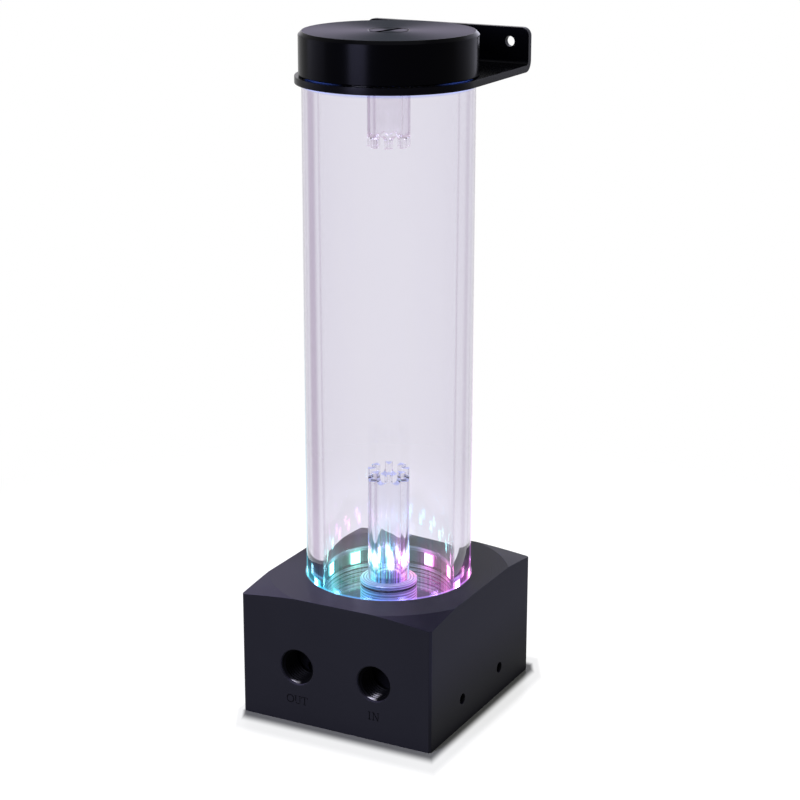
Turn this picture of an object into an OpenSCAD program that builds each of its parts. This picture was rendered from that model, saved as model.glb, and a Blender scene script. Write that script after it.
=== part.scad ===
// Coolant pump reservoir: a pump and distribution block carries an upright clear tank,
// closed by a screw cap with a coin-slot fill plug. A riser tube brings the coolant in,
// a drop tube hangs from the cap, and a sheet bracket is clamped round the tank's neck.
//
// Millimetres, +Z up. The origin is the centre of the underside, on the tank's axis.
// The ports face -Y and the bracket's upright plate stands at +Y.
// Screw threads are plain cylinders at their major size, unless a module says otherwise.

/* [Base block] */
// Width of the block, left to right
block_w = 76; // [74:1:96]
// Depth of the block, front to back
block_d = 82; // [79:1:100]
// Depth of the tank's socket, from the flat top to the floor
socket_depth = 15.6; // [14:0.2:20]
// Radius at which the flat top ends and the bevel begins
top_flat_r = 44; // [41:0.5:50]
// Slope of the bevel beyond the flat top, in degrees
top_slope = 10; // [6:1:20]
// Chamfer of the block's upright edges
edge_chamfer = 0.8; // [0.6:0.1:3]
// Floor left above the inlet passage
floor_t = 2.5; // [2.3:0.1:5]

/* [Ports and side holes] */
// Major diameter of the port threads
port_d = 13.16; // [9.7:0.01:16.6]
// Depth of each port
port_depth = 12; // [10:0.5:12]
// Distance between the two ports
port_spacing = 31; // [28:1:36]
// Height of the ports above the underside
port_z = 21.5; // [20:0.5:22]
// Diameter of the tapped holes in the right side
side_hole_d = 4; // [2:0.5:5]
// Depth of the tapped side holes
side_hole_depth = 6; // [3:0.5:6]
// Distance between the side holes
side_hole_spacing = 31; // [20:1:40]
// Height of the side holes above the underside
side_hole_z = 10.4; // [9:0.2:16]

/* [Tank] */
// Outer diameter of the tank tube
tank_od = 60; // [56:1:62]
// Wall of the tank tube
tank_wall = 6; // [4:0.5:7]
// Height of the tank tube, from its foot to its shoulder
tank_h = 194; // [120:0.5:300]
// Height of the neck above the shoulder
neck_h = 10.8; // [8:0.1:14]
// How far the neck is stepped in from the tube's outside
neck_step = 1.5; // [1:0.1:2]
// Pitch of the rings that stand for the foot's thread
foot_pitch = 1.5; // [1:0.25:2]

/* [Cap and fill plug] */
// Wall of the cap round the neck
cap_wall = 2.4; // [2:0.1:4]
// Thickness of the cap above the neck
cap_top_t = 6.5; // [6:0.1:10]
// Chamfer of the cap's top edge
cap_chamfer = 1.2; // [0.5:0.1:2]
// Depth of the threaded hole for the fill plug
plug_hole_depth = 5.75; // [4:0.25:6]
// Width of the coin slot
coin_slot_w = 2.2; // [1.5:0.1:3]
// Depth of the coin slot
coin_slot_depth = 2.4; // [1:0.1:2.6]
// Direction of the coin slot about the axis, in degrees
coin_slot_turn = 80; // [0:1:180]

/* [Riser and drop tubes] */
// Outer diameter of both inner tubes
water_tube_od = 15; // [13:0.5:15.5]
// Bore of both inner tubes
water_tube_bore = 9; // [7:0.5:10]
// Length of the riser tube
riser_h = 48.5; // [30:0.5:80]
// Length of the drop tube
drop_h = 31.5; // [20:0.5:60]
// Number of notches round a tube's castellated end, an even number
notch_count = 8; // [4:2:10]
// Width of a notch
notch_w = 3; // [2:0.1:3.2]
// Depth of a notch
notch_depth = 4.2; // [3:0.1:8]
// Turn of the notches about the axis, in degrees
notch_turn = 5; // [0:1:45]
// Radius of the fitting and collar at the riser's foot
fitting_r = 10.4; // [9.9:0.1:11]
// Height of the fitting under the collar
fitting_h = 11; // [8:0.5:16]
// Thickness of the collar's flange
collar_t = 1.5; // [1.2:0.1:3]

/* [Bracket] */
// Thickness of the bracket's sheet
sheet_t = 2.5; // [1:0.25:3]
// Width of the ring outside the tank's neck
ring_land = 3.75; // [3:0.05:8]
// Gap between the cap's side and the upright plate
plate_gap = 13.2; // [8:0.2:30]
// Height of the upright plate above the sheet's underside
plate_h = 15.5; // [12:0.5:60]
// Inner radius of the bend
bend_r = 1.5; // [1:0.1:2.5]
// Radius of the plate's upper corners
plate_corner_r = 3; // [1:0.5:5]
// Diameter of the two holes in the plate
plate_hole_d = 3.6; // [3:0.1:5]
// Distance between the two holes
plate_hole_spacing = 50; // [30:1:52]
// Distance of the holes below the plate's top edge
plate_hole_drop = 5.1; // [4:0.1:6]

/* [Lamp ring] */
// Number of lamps round the tank
lamp_count = 11; // [6:1:16]
// Side of a lamp's square case
lamp_side = 5; // [3:0.5:5.5]
// Thickness of a lamp
lamp_t = 1.5; // [1:0.1:2]
// Direction of the first lamp about the axis, in degrees
lamp_turn = 16; // [0:1:32]
// Thickness of the block's lip above the lamp groove
lip_t = 1.6; // [1.2:0.1:3]

/* [Pump] */
// Thickness of the base cover
cover_t = 2.5; // [2.2:0.1:4]
// Height of the motor space
motor_h = 9; // [9:0.5:12]
// Radius of the motor space
motor_r = 31; // [30.5:0.5:32]
// Thickness of the separator can's flange
can_flange_t = 1.5; // [1.2:0.1:2.5]
// Wall of the separator can's cup
can_wall = 0.6; // [0.5:0.1:1]
// Radius of the impeller chamber
chamber_r = 19.5; // [18.5:0.5:20]
// Height of the impeller chamber
chamber_h = 5.5; // [5.2:0.1:7]
// Thickness of the plate between the chamber and the gallery
eye_plate_t = 1.8; // [1.5:0.1:3]
// Height of the suction gallery above that plate
gallery_h = 3; // [2.5:0.1:5]
// Radius of the impeller's eye
eye_r = 6; // [5:0.25:7]
// Radius of the impeller
impeller_r = 17.5; // [14:0.5:17.8]
// Width of the motor board's connector
connector_w = 8; // [5:0.5:12]
// Number of impeller blades
blade_count = 6; // [4:1:8]
// Radius of the rotor magnet
magnet_r = 8; // [7:0.25:8.5]
// Radius of the pump shaft
shaft_r = 1.5; // [1:0.1:1.8]
// Diameter of the outlet passage
outlet_d = 4.4; // [3:0.2:4.6]
// Diameter of the inlet passage
inlet_d = 5.5; // [4:0.25:6]
// Diameter of the suction hole in the tank's floor
suction_d = 10; // [7:0.5:10]
// Direction of the suction hole about the axis, in degrees
suction_turn = 120; // [100:1:200]

/* [Clearances] */
// Radial clearance between parts that are screwed or slid together
slide_gap = 0.1; // [0.05:0.01:0.2]
// Radial clearance between parts that are pressed together
press_gap = 0.02; // [0.01:0.01:0.04]
// Radial clearance of the rotor's bearing
running_gap = 0.05; // [0.02:0.01:0.08]
// Radial clearance between the tank tube and its socket
socket_gap = 0.25; // [0.15:0.05:0.4]
// Least gap between parts that move past each other
move_gap = 0.3; // [0.25:0.05:0.4]
// Thinnest wall between two passages
web = 0.7; // [0.6:0.1:1.5]

/* [Hidden] */
$fn = 96;

// A cut runs this far past the face that it opens
over = 1;
// Section radii of the small and the large sealing rings
small_seal_r = 0.7;
large_seal_r = 0.9;
// What a sealing ring is short of its groove, so that it only touches
seal_fit = 0.02;

// Heights, from the underside up
motor_top_z = cover_t + motor_h;
chamber_z = motor_top_z + can_flange_t;
chamber_top_z = chamber_z + chamber_h;
insert_top_z = chamber_top_z + eye_plate_t;
gallery_top_z = insert_top_z + gallery_h;
outlet_z = chamber_z + 2 * small_seal_r + web + outlet_d / 2;
inlet_z = gallery_top_z + web + inlet_d / 2;
floor_z = inlet_z + inlet_d / 2 + floor_t;
block_h = floor_z + socket_depth;

// Base block
port_y = -block_d / 2;
port_end_y = port_y + port_depth;
port_chamfer = 0.3;
insert_r = chamber_r + 4.4;
pocket_r = insert_r + slide_gap;
cover_margin = 3;
cover_gap = 0.15;
cover_w = block_w - 2 * cover_margin;
cover_d = block_d - 2 * cover_margin;
cover_seal_r = motor_r + 2;
cover_screw_inset = 4.5;
cover_screw_x = cover_w / 2 - cover_screw_inset;
cover_screw_y = cover_d / 2 - cover_screw_inset;
screw_r = 1.5;
screw_head_r = 2.9;
screw_head_h = 1.6;
screw_head_sink = 0.2;
cover_screw_reach = 7;

// Tank
tank_r = tank_od / 2;
tank_bore_r = tank_r - tank_wall;
tank_z = floor_z + 0.2;
shoulder_z = tank_z + tank_h;
neck_r = tank_r - neck_step;
neck_top_z = shoulder_z + neck_h;
socket_r = tank_r + socket_gap;
tank_seal_r = (tank_r + tank_bore_r) / 2;
foot_ring_z = tank_z + 1.3;
foot_ring_depth = 0.8;

// Lamp ring, in a groove under the lip
lamp_gap = 0.3;
strip_t = 0.4;
strip_fit = 0.1;
lamp_face_r = socket_r + 0.75;
lamp_back_r = norm([lamp_face_r + lamp_t, lamp_side / 2]);
strip_r = lamp_back_r + strip_t;
groove_r = strip_r + strip_fit;
groove_h = lamp_side + 2 * lamp_gap;
groove_z = block_h - lip_t - groove_h;
foot_ring_count = floor((groove_z - foot_ring_z) / foot_pitch);
wire_turn = 60;
wire_hole_r = 1;
wire_notch_h = 4;

// Cap and bracket
ring_hole_r = neck_r + slide_gap;
ring_r = ring_hole_r + ring_land;
sheet_top_z = shoulder_z + sheet_t;
cap_z = sheet_top_z + move_gap;
cap_bore_r = neck_r + slide_gap;
cap_r = cap_bore_r + cap_wall;
ceiling_z = neck_top_z + move_gap;
cap_top_z = ceiling_z + cap_top_t;
cap_foot_chamfer = 0.2;
cap_seal_r = (neck_r + tank_bore_r) / 2;
cap_seal_h = 2 * large_seal_r - move_gap / 2;
plate_y = cap_r + plate_gap;
plate_top_z = shoulder_z + plate_h;
plate_hole_z = plate_top_z - plate_hole_drop;

// Fill plug
plug_bore_r = port_d / 2;
plug_r = plug_bore_r - slide_gap;
plug_chamfer = 0.5;
plug_shoulder_z = cap_top_z - plug_hole_depth;
plug_seal_fit = 0.1;
plug_seal_z = plug_shoulder_z + move_gap + small_seal_r;
plug_z = plug_seal_z + small_seal_r + plug_seal_fit;

// Inner tubes
water_r = water_tube_od / 2;
water_bore_r = water_tube_bore / 2;
grip_r = water_r + running_gap;
drop_ledge_t = 1.25;
drop_top_z = ceiling_z - drop_ledge_t;
drop_boss_r = grip_r + 2.45;
drop_boss_z = cap_z + 0.5;
drop_seal_r = water_r + small_seal_r;
drop_seal_z = drop_boss_z + 2.5;
riser_seal_r = 0.65;
collar_z = floor_z + fitting_h + 2 * riser_seal_r;
collar_skirt_r = grip_r + 1.05;
collar_skirt_h = 6.3;
collar_skirt_z = collar_z - collar_skirt_h;
collar_ledge_t = 1;
collar_round = 0.5;
riser_z = collar_skirt_z + collar_ledge_t;
spigot_r = water_bore_r + 2;
spigot_h = 4;

// Motor and rotor
can_z = cover_t + 1.1;
can_floor_t = 0.8;
rotor_gap = 0.6;
can_bore_r = magnet_r + rotor_gap;
can_r = can_bore_r + can_wall;
can_flange_r = motor_r - 0.2;
can_boss_r = shaft_r + 1.5;
can_floor_z = can_z + can_floor_t;
can_boss_z = can_floor_z + 2;
washer_t = 0.6;
washer_r = can_boss_r;
bush_z = can_boss_z + washer_t + running_gap;
bush_r = shaft_r + 1.1;
hub_r = bush_r + 1.4;
magnet_z = can_floor_z + 1;
magnet_top_z = chamber_z - rotor_gap;
disc_z = chamber_z + rotor_gap;
disc_t = 1;
blade_top_z = chamber_top_z - 1.1;
shaft_top_z = insert_top_z - 0.5;
core_r = motor_r - 4.5;
yoke_w = 4;
core_bore_r = can_r + 0.4;
core_h = 3.7;
core_top_z = motor_top_z - 1.6;
core_z = core_top_z - core_h;
tooth_count = 6;
tooth_w = 5;
shoe_t = 1.6;
coil_wall = 1.2;
coil_side = 2.3;
coil_fit = 0.05;
board_z = cover_t + 0.6;
board_t = 1.2;
can_screw_r = 1.25;
can_screw_circle_r = (motor_r + core_r) / 2 + 0.25;
can_screw_count = 4;
can_screw_reach = 5;

// Cable outlet
grommet_z = 8;
grommet_r = 3.2;
grommet_flange_r = 4.8;
grommet_flange_t = 1.5;
cable_hole_r = 1.5;

// Suction hole, inside the tank's bore
suction_r = tank_bore_r - suction_d / 2 - 1;

// ---- Shared shapes ----

// A rectangle with its four corners cut off
module cut_rectangle(w, d, c) {
    x = w / 2;
    y = d / 2;
    polygon([
        [x - c, -y], [x, -y + c], [x, y - c], [x - c, y],
        [-x + c, y], [-x, y - c], [-x, -y + c], [-x + c, -y]
    ]);
}

// A hollow cylinder from z = 0 up
module pipe(outer, inner, h) {
    difference() {
        cylinder(r = outer, h = h);
        translate([0, 0, -over]) cylinder(r = inner, h = h + 2 * over);
    }
}

// A sealing ring of round section, with its middle at the height z
module oring(r, z, section) {
    rotate_extrude() translate([r, z]) circle(r = section, $fn = 32);
}

// Puts its children at the four corners of a rectangle
module at_corners(x, y) {
    for (side = [-1, 1], end = [-1, 1])
        translate([side * x, end * y, 0]) children();
}

// Puts count copies of its children evenly round the axis, at the radius r
module around(count, r, turn = 0) {
    for (i = [0 : count - 1])
        rotate(turn + i * 360 / count) translate([r, 0, 0]) children();
}

// An inner tube whose upper end is castellated; two opposite notches are one cut
module castellated_tube(h) {
    difference() {
        pipe(water_r, water_bore_r, h);
        for (i = [0 : notch_count / 2 - 1])
            rotate(notch_turn + i * 360 / notch_count)
                translate([0, 0, h - notch_depth + notch_w / 2]) {
                    rotate([0, 90, 0])
                        cylinder(d = notch_w, h = water_tube_od + 2 * over, center = true);
                    translate([-water_r - over, -notch_w / 2, 0])
                        cube([water_tube_od + 2 * over, notch_w, notch_depth]);
                }
    }
}

// The drilled way from the outlet port to the impeller chamber
module outlet_passage() {
    translate([-port_spacing / 2, port_end_y - over, outlet_z])
        rotate([-90, 0, 0])
            cylinder(d = outlet_d, h = over - port_end_y - chamber_r / 2);
}

// The drilled way from the inlet port to the foot of the riser
module inlet_passage() {
    run = norm([port_spacing / 2, port_end_y]);
    translate([0, 0, inlet_z])
        rotate([0, 90, atan2(port_end_y, port_spacing / 2)])
            cylinder(d = inlet_d, h = run);
}

// ---- Base block ----

module block_blank() {
    corner_r = norm([block_w, block_d]) / 2;
    edge_z = block_h - (corner_r - top_flat_r) * tan(top_slope);
    intersection() {
        linear_extrude(block_h) cut_rectangle(block_w, block_d, edge_chamfer);
        rotate_extrude()
            polygon([[0, 0], [corner_r, 0], [corner_r, edge_z], [top_flat_r, block_h], [0, block_h]]);
    }
}

// Socket for the tank, with the lamp groove, the seal's groove and the riser's seat
module tank_socket() {
    translate([0, 0, floor_z]) cylinder(r = socket_r, h = socket_depth + over);
    translate([0, 0, groove_z]) cylinder(r = groove_r, h = groove_h);
    translate([0, 0, floor_z - 2 * large_seal_r + (tank_z - floor_z)])
        pipe(tank_seal_r + large_seal_r, tank_seal_r - large_seal_r, 2 * large_seal_r);
    translate([0, 0, inlet_z]) cylinder(r = water_bore_r, h = floor_z - inlet_z + over);
    translate([0, 0, floor_z - spigot_h]) cylinder(r = spigot_r + slide_gap, h = spigot_h + over);
}

// Suction hole in the floor and the gallery that leads it to the impeller's eye
module suction_way() {
    rotate(suction_turn) {
        translate([suction_r, 0, insert_top_z - over])
            cylinder(d = suction_d, h = floor_z - insert_top_z + 2 * over);
        translate([0, -suction_d / 2, insert_top_z - over])
            cube([suction_r, suction_d, gallery_h + over]);
    }
    translate([0, 0, insert_top_z - over]) cylinder(r = eye_r + 0.5, h = gallery_h + over);
}

// Pump and motor spaces, opened from below
module pump_spaces() {
    translate([0, 0, -over]) {
        linear_extrude(cover_t + over) cut_rectangle(cover_w, cover_d, edge_chamfer);
        cylinder(r = motor_r, h = motor_top_z + can_flange_t + over);
        cylinder(r = pocket_r, h = insert_top_z + over);
    }
    translate([0, 0, cover_t - over])
        pipe(cover_seal_r + small_seal_r, cover_seal_r - small_seal_r, 2 * small_seal_r + over);
}

module port(x) {
    translate([x, port_y, port_z]) rotate([-90, 0, 0]) {
        translate([0, 0, -over]) cylinder(d = port_d, h = port_depth + over);
        translate([0, 0, -over])
            cylinder(r1 = port_d / 2 + port_chamfer + over, r2 = port_d / 2, h = port_chamfer + over);
    }
}

module side_holes() {
    for (side = [-1, 1])
        translate([block_w / 2 - side_hole_depth, side * side_hole_spacing / 2, side_hole_z])
            rotate([0, 90, 0]) cylinder(d = side_hole_d, h = side_hole_depth + over);
}

// Holes for the cover's screws and for those of the separator can
module block_screw_holes() {
    at_corners(cover_screw_x, cover_screw_y)
        cylinder(r = screw_r + press_gap, h = cover_screw_reach + over);
    around(can_screw_count, can_screw_circle_r, 45)
        translate([0, 0, chamber_z - over])
            cylinder(r = can_screw_r + press_gap, h = can_screw_reach + over);
}

// Way for the lamps' wires down to the motor, and the cable's way out at the back
module wire_ways() {
    rotate(wire_turn) {
        translate([socket_r + 1 + wire_hole_r, 0, motor_top_z - over])
            cylinder(r = wire_hole_r, h = groove_z - motor_top_z + 2 * over);
        translate([motor_r, 0, chamber_z - wire_notch_h])
            cylinder(r = 2.4 * wire_hole_r, h = wire_notch_h);
    }
    translate([0, 0, grommet_z]) rotate([-90, 0, 0]) {
        cylinder(r = grommet_r + slide_gap, h = block_d / 2 + over);
        translate([0, 0, block_d / 2 - grommet_flange_t])
            cylinder(r = grommet_flange_r + slide_gap, h = grommet_flange_t + over);
    }
}

module base_block() {
    color([0.09, 0.09, 0.11])
        difference() {
            block_blank();
            tank_socket();
            suction_way();
            pump_spaces();
            inlet_passage();
            outlet_passage();
            port(-port_spacing / 2);
            port(port_spacing / 2);
            side_holes();
            block_screw_holes();
            wire_ways();
        }
}

// ---- Underside ----

module base_cover() {
    color([0.13, 0.13, 0.15])
        difference() {
            union() {
                linear_extrude(cover_t)
                    cut_rectangle(cover_w - 2 * cover_gap, cover_d - 2 * cover_gap, edge_chamfer);
                // Rim that the motor board rests on
                translate([0, 0, cover_t]) pipe(motor_r - 2, core_r - yoke_w, board_z - cover_t);
            }
            at_corners(cover_screw_x, cover_screw_y) {
                translate([0, 0, -over])
                    cylinder(r = screw_head_r + slide_gap, h = screw_head_sink + over);
                translate([0, 0, screw_head_sink])
                    cylinder(r1 = screw_head_r + slide_gap, r2 = screw_r + slide_gap, h = screw_head_h);
                cylinder(r = screw_r + slide_gap, h = cover_t + over);
            }
        }
}

module cover_oring() {
    color("black") oring(cover_seal_r, cover_t + small_seal_r, small_seal_r - seal_fit);
}

// Countersunk screws with a cross recess
module cover_screws() {
    recess_w = 0.8;
    recess_l = 3;
    recess_depth = 1.1;
    color("silver")
        at_corners(cover_screw_x, cover_screw_y)
            translate([0, 0, screw_head_sink])
                difference() {
                    union() {
                        cylinder(r1 = screw_head_r, r2 = screw_r, h = screw_head_h);
                        cylinder(r = screw_r, h = cover_screw_reach - 2 * screw_head_sink);
                    }
                    for (turn = [0, 90])
                        rotate(turn)
                            translate([-recess_l / 2, -recess_w / 2, -over])
                                cube([recess_l, recess_w, recess_depth + over]);
                }
}

// Rubber outlet for the motor and lamp leads, flush with the back
module cable_grommet() {
    color("black")
        translate([0, motor_r, grommet_z]) rotate([-90, 0, 0])
            difference() {
                length = block_d / 2 - motor_r;
                union() {
                    cylinder(r = grommet_r, h = length);
                    translate([0, 0, length - grommet_flange_t + seal_fit])
                        cylinder(r = grommet_flange_r, h = grommet_flange_t - seal_fit);
                }
                translate([0, 0, -over]) cylinder(r = cable_hole_r, h = length + 2 * over);
            }
}

// ---- Motor ----

module motor_board() {
    connector = connector_w * [1, 0.375, 0.4];
    color("darkgreen")
        translate([0, 0, board_z]) {
            pipe(motor_r - 1.5, can_r + 1, board_t);
            translate([-connector.x / 2, core_r + 0.4, board_t]) cube(connector);
        }
}

// Ring of laminations with wide-tipped teeth
module stator_core() {
    shoe_y = core_r * tan(22);
    color("slategray")
        translate([0, 0, core_z]) linear_extrude(core_h) {
            difference() {
                circle(r = core_r);
                circle(r = core_r - yoke_w);
            }
            around(tooth_count, 0)
                translate([core_bore_r + shoe_t / 2, -tooth_w / 2])
                    square([core_r - yoke_w / 2 - core_bore_r - shoe_t / 2, tooth_w]);
            around(tooth_count, 0)
                intersection() {
                    difference() {
                        circle(r = core_bore_r + shoe_t);
                        circle(r = core_bore_r);
                    }
                    polygon([[0, 0], [core_r, -shoe_y], [core_r, shoe_y]]);
                }
        }
}

// One winding round each tooth
module stator_coils() {
    inner_r = core_bore_r + shoe_t + 1;
    outer_r = core_r - yoke_w - 1;
    hole_w = tooth_w + 2 * coil_fit;
    hole_h = core_h + 2 * coil_fit;
    color([0.7, 0.38, 0.16])
        around(tooth_count, inner_r)
            translate([0, 0, core_z + core_h / 2])
                rotate([90, 0, 90])
                    linear_extrude(outer_r - inner_r)
                        difference() {
                            square([hole_w + 2 * coil_side, hole_h + 2 * coil_wall], center = true);
                            square([hole_w, hole_h], center = true);
                        }
}

// ---- Separator can, shaft and rotor ----

module separator_can() {
    color([0.2, 0.2, 0.22])
        difference() {
            union() {
                translate([0, 0, motor_top_z]) cylinder(r = can_flange_r, h = can_flange_t);
                translate([0, 0, can_z]) cylinder(r = can_r, h = motor_top_z - can_z);
                // Rim that the stator hangs from
                translate([0, 0, core_top_z])
                    pipe(core_r, core_r - yoke_w + 0.3, motor_top_z - core_top_z);
            }
            difference() {
                translate([0, 0, can_floor_z]) cylinder(r = can_bore_r, h = chamber_z);
                cylinder(r = can_boss_r, h = can_boss_z);
            }
            translate([0, 0, can_floor_z]) cylinder(r = shaft_r + press_gap, h = chamber_z);
            around(can_screw_count, can_screw_circle_r, 45)
                cylinder(r = can_screw_r + slide_gap, h = chamber_z + over);
        }
}

module can_oring() {
    color("black")
        oring(insert_r - small_seal_r, chamber_z + small_seal_r, small_seal_r - seal_fit);
}

module can_screws() {
    head_r = 1.9;
    head_h = 1.4;
    recess_w = 1.2;
    color("silver")
        around(can_screw_count, can_screw_circle_r, 45)
            difference() {
                union() {
                    translate([0, 0, motor_top_z - head_h]) cylinder(r = head_r, h = head_h);
                    translate([0, 0, motor_top_z - head_h])
                        cylinder(r = can_screw_r, h = head_h + can_flange_t + can_screw_reach - 0.5);
                }
                translate([0, 0, motor_top_z - head_h - over])
                    cylinder(d = recess_w, h = head_h / 2 + over);
            }
}

module pump_shaft() {
    color("white")
        translate([0, 0, can_floor_z]) cylinder(r = shaft_r, h = shaft_top_z - can_floor_z);
}

module thrust_washer() {
    color("wheat")
        translate([0, 0, can_boss_z]) pipe(washer_r, shaft_r + slide_gap, washer_t);
}

module rotor_bush() {
    color("dimgray")
        translate([0, 0, bush_z])
            pipe(bush_r, shaft_r + running_gap, disc_z + disc_t - bush_z);
}

module rotor_magnet() {
    color([0.3, 0.3, 0.32])
        translate([0, 0, magnet_z]) pipe(magnet_r, hub_r + press_gap, magnet_top_z - magnet_z);
}

// A backward-curved blade: the part of a thin ring that lies beyond the eye, on one side
module blade() {
    arc_at = impeller_r * [0.63, -0.23];
    arc_r = 0.57 * impeller_r;
    blade_t = 1.2;
    translate([0, 0, disc_z + disc_t / 2])
        linear_extrude(blade_top_z - disc_z - disc_t / 2)
            intersection() {
                difference() {
                    circle(r = impeller_r - 0.2);
                    circle(r = eye_r - 0.5);
                }
                difference() {
                    translate(arc_at) circle(r = arc_r + blade_t / 2);
                    translate(arc_at) circle(r = arc_r - blade_t / 2);
                }
                rotate(atan2(arc_at.y, arc_at.x)) square(2 * impeller_r);
            }
}

module impeller() {
    color("ivory") {
        difference() {
            union() {
                translate([0, 0, disc_z]) cylinder(r = impeller_r, h = disc_t);
                translate([0, 0, magnet_top_z]) cylinder(r = magnet_r, h = disc_z - magnet_top_z);
                translate([0, 0, bush_z]) cylinder(r = hub_r, h = disc_z - bush_z);
            }
            cylinder(r = bush_r + press_gap, h = disc_z + disc_t + over);
        }
        around(blade_count, 0) blade();
    }
}

// Chamber and eye of the pump, with spokes that hold the shaft's upper end
module volute_insert() {
    spoke_w = 1.2;
    spoke_count = 3;
    spoke_turn = 30;
    color([0.24, 0.24, 0.26]) {
        difference() {
            translate([0, 0, chamber_z]) cylinder(r = insert_r, h = insert_top_z - chamber_z);
            translate([0, 0, chamber_z - over]) cylinder(r = chamber_r, h = chamber_h + over);
            translate([0, 0, chamber_z]) cylinder(r = eye_r, h = insert_top_z);
            translate([0, 0, chamber_z - over])
                pipe(insert_r + over, insert_r - 2 * small_seal_r, 2 * small_seal_r + over);
            outlet_passage();
        }
        translate([0, 0, chamber_top_z])
            difference() {
                union() {
                    cylinder(r = shaft_r + 1.1, h = eye_plate_t);
                    around(spoke_count, 0, spoke_turn)
                        translate([0, -spoke_w / 2, 0]) cube([eye_r + 0.5, spoke_w, eye_plate_t]);
                }
                translate([0, 0, -over])
                    cylinder(r = shaft_r + press_gap, h = shaft_top_z - chamber_top_z + over);
            }
    }
}

// ---- Lamp ring ----

module led_strip() {
    color("darkslategray")
        translate([0, 0, groove_z + lamp_gap / 2])
            pipe(strip_r, lamp_back_r, groove_h - lamp_gap);
}

// Square lamps that face the tank, each with a shallow round window
module leds() {
    window_r = 0.4 * lamp_side;
    window_depth = 0.2;
    color("paleturquoise")
        around(lamp_count, lamp_face_r, lamp_turn)
            translate([0, 0, groove_z + groove_h / 2])
                difference() {
                    translate([0, -lamp_side / 2, -lamp_side / 2]) cube([lamp_t, lamp_side, lamp_side]);
                    translate([-over, 0, 0]) rotate([0, 90, 0])
                        cylinder(r = window_r, h = over + window_depth);
                }
}

// ---- Riser ----

module fitting_oring() {
    color("black")
        oring(spigot_r + small_seal_r, floor_z + small_seal_r, small_seal_r - seal_fit);
}

module riser_fitting() {
    color([0.5, 0.5, 0.54])
        difference() {
            union() {
                translate([0, 0, floor_z]) cylinder(r = fitting_r, h = fitting_h);
                translate([0, 0, floor_z - spigot_h]) cylinder(r = spigot_r, h = spigot_h);
            }
            translate([0, 0, floor_z - spigot_h - over])
                cylinder(r = water_bore_r, h = spigot_h + fitting_h + 2 * over);
            translate([0, 0, collar_skirt_z - slide_gap])
                cylinder(r = collar_skirt_r + slide_gap, h = fitting_h);
            translate([0, 0, floor_z - over])
                pipe(spigot_r + 2 * small_seal_r, spigot_r, 2 * small_seal_r + over);
        }
}

module riser_oring() {
    color("black")
        oring(fitting_r - 0.1 - riser_seal_r, collar_z - riser_seal_r, riser_seal_r - seal_fit);
}

module riser_collar() {
    color([0.55, 0.55, 0.6])
        difference() {
            union() {
                translate([0, 0, collar_skirt_z]) cylinder(r = collar_skirt_r, h = collar_skirt_h);
                translate([0, 0, collar_z]) rotate_extrude() {
                    square([fitting_r - collar_round, collar_t]);
                    square([fitting_r, collar_t - collar_round]);
                    translate([fitting_r - collar_round, collar_t - collar_round])
                        circle(r = collar_round, $fn = 32);
                }
            }
            translate([0, 0, collar_skirt_z - over]) cylinder(r = water_bore_r, h = collar_skirt_h);
            translate([0, 0, riser_z]) cylinder(r = grip_r, h = collar_skirt_h + collar_t);
        }
}

module riser_tube() {
    color("lavender", 0.5) translate([0, 0, riser_z]) castellated_tube(riser_h);
}

// ---- Tank ----

module tank_oring() {
    color("black") oring(tank_seal_r, tank_z - large_seal_r, large_seal_r - seal_fit);
}

// The foot's thread is drawn as level rings
module tank_tube() {
    color("lavender", 0.4)
        difference() {
            union() {
                translate([0, 0, tank_z]) cylinder(r = tank_r, h = tank_h);
                translate([0, 0, tank_z]) cylinder(r = neck_r, h = tank_h + neck_h);
            }
            translate([0, 0, tank_z - over])
                cylinder(r = tank_bore_r, h = tank_h + neck_h + 2 * over);
            for (i = [0 : foot_ring_count - 1])
                translate([0, 0, foot_ring_z + i * foot_pitch])
                    rotate_extrude()
                        polygon([
                            [tank_r - foot_ring_depth, foot_pitch * 0.4],
                            [tank_r - foot_ring_depth, foot_pitch * 0.6],
                            [tank_r + foot_ring_depth / 4, foot_pitch],
                            [tank_r + foot_ring_depth / 4, 0]
                        ]);
        }
}

// ---- Bracket ----

// A ring clamped under the cap, with straight arms back to an upright plate
module bracket() {
    bend_z = sheet_top_z + bend_r;
    bend_y = plate_y - bend_r;
    color([0.07, 0.07, 0.08]) {
        translate([0, 0, shoulder_z])
            difference() {
                linear_extrude(sheet_t)
                    union() {
                        circle(r = ring_r);
                        translate([-ring_r, 0]) square([2 * ring_r, bend_y]);
                    }
                translate([0, 0, -over]) cylinder(r = ring_hole_r, h = sheet_t + 2 * over);
            }
        // Bend
        translate([-ring_r, bend_y, bend_z])
            rotate([90, 0, 90])
                linear_extrude(2 * ring_r)
                    intersection() {
                        difference() {
                            circle(r = bend_r + sheet_t);
                            circle(r = bend_r);
                        }
                        translate([0, -bend_r - sheet_t]) square(bend_r + sheet_t);
                    }
        // Upright plate
        translate([0, plate_y + sheet_t, 0])
            rotate([90, 0, 0])
                difference() {
                    linear_extrude(sheet_t)
                        union() {
                            translate([-ring_r, bend_z])
                                square([2 * ring_r, plate_top_z - plate_corner_r - bend_z]);
                            translate([-ring_r + plate_corner_r, bend_z])
                                square([2 * (ring_r - plate_corner_r), plate_top_z - bend_z]);
                            for (side = [-1, 1])
                                translate([side * (ring_r - plate_corner_r), plate_top_z - plate_corner_r])
                                    circle(r = plate_corner_r);
                        }
                    for (side = [-1, 1])
                        translate([side * plate_hole_spacing / 2, plate_hole_z, -over])
                            cylinder(d = plate_hole_d, h = sheet_t + 2 * over);
                }
    }
}

// ---- Cap ----

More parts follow.
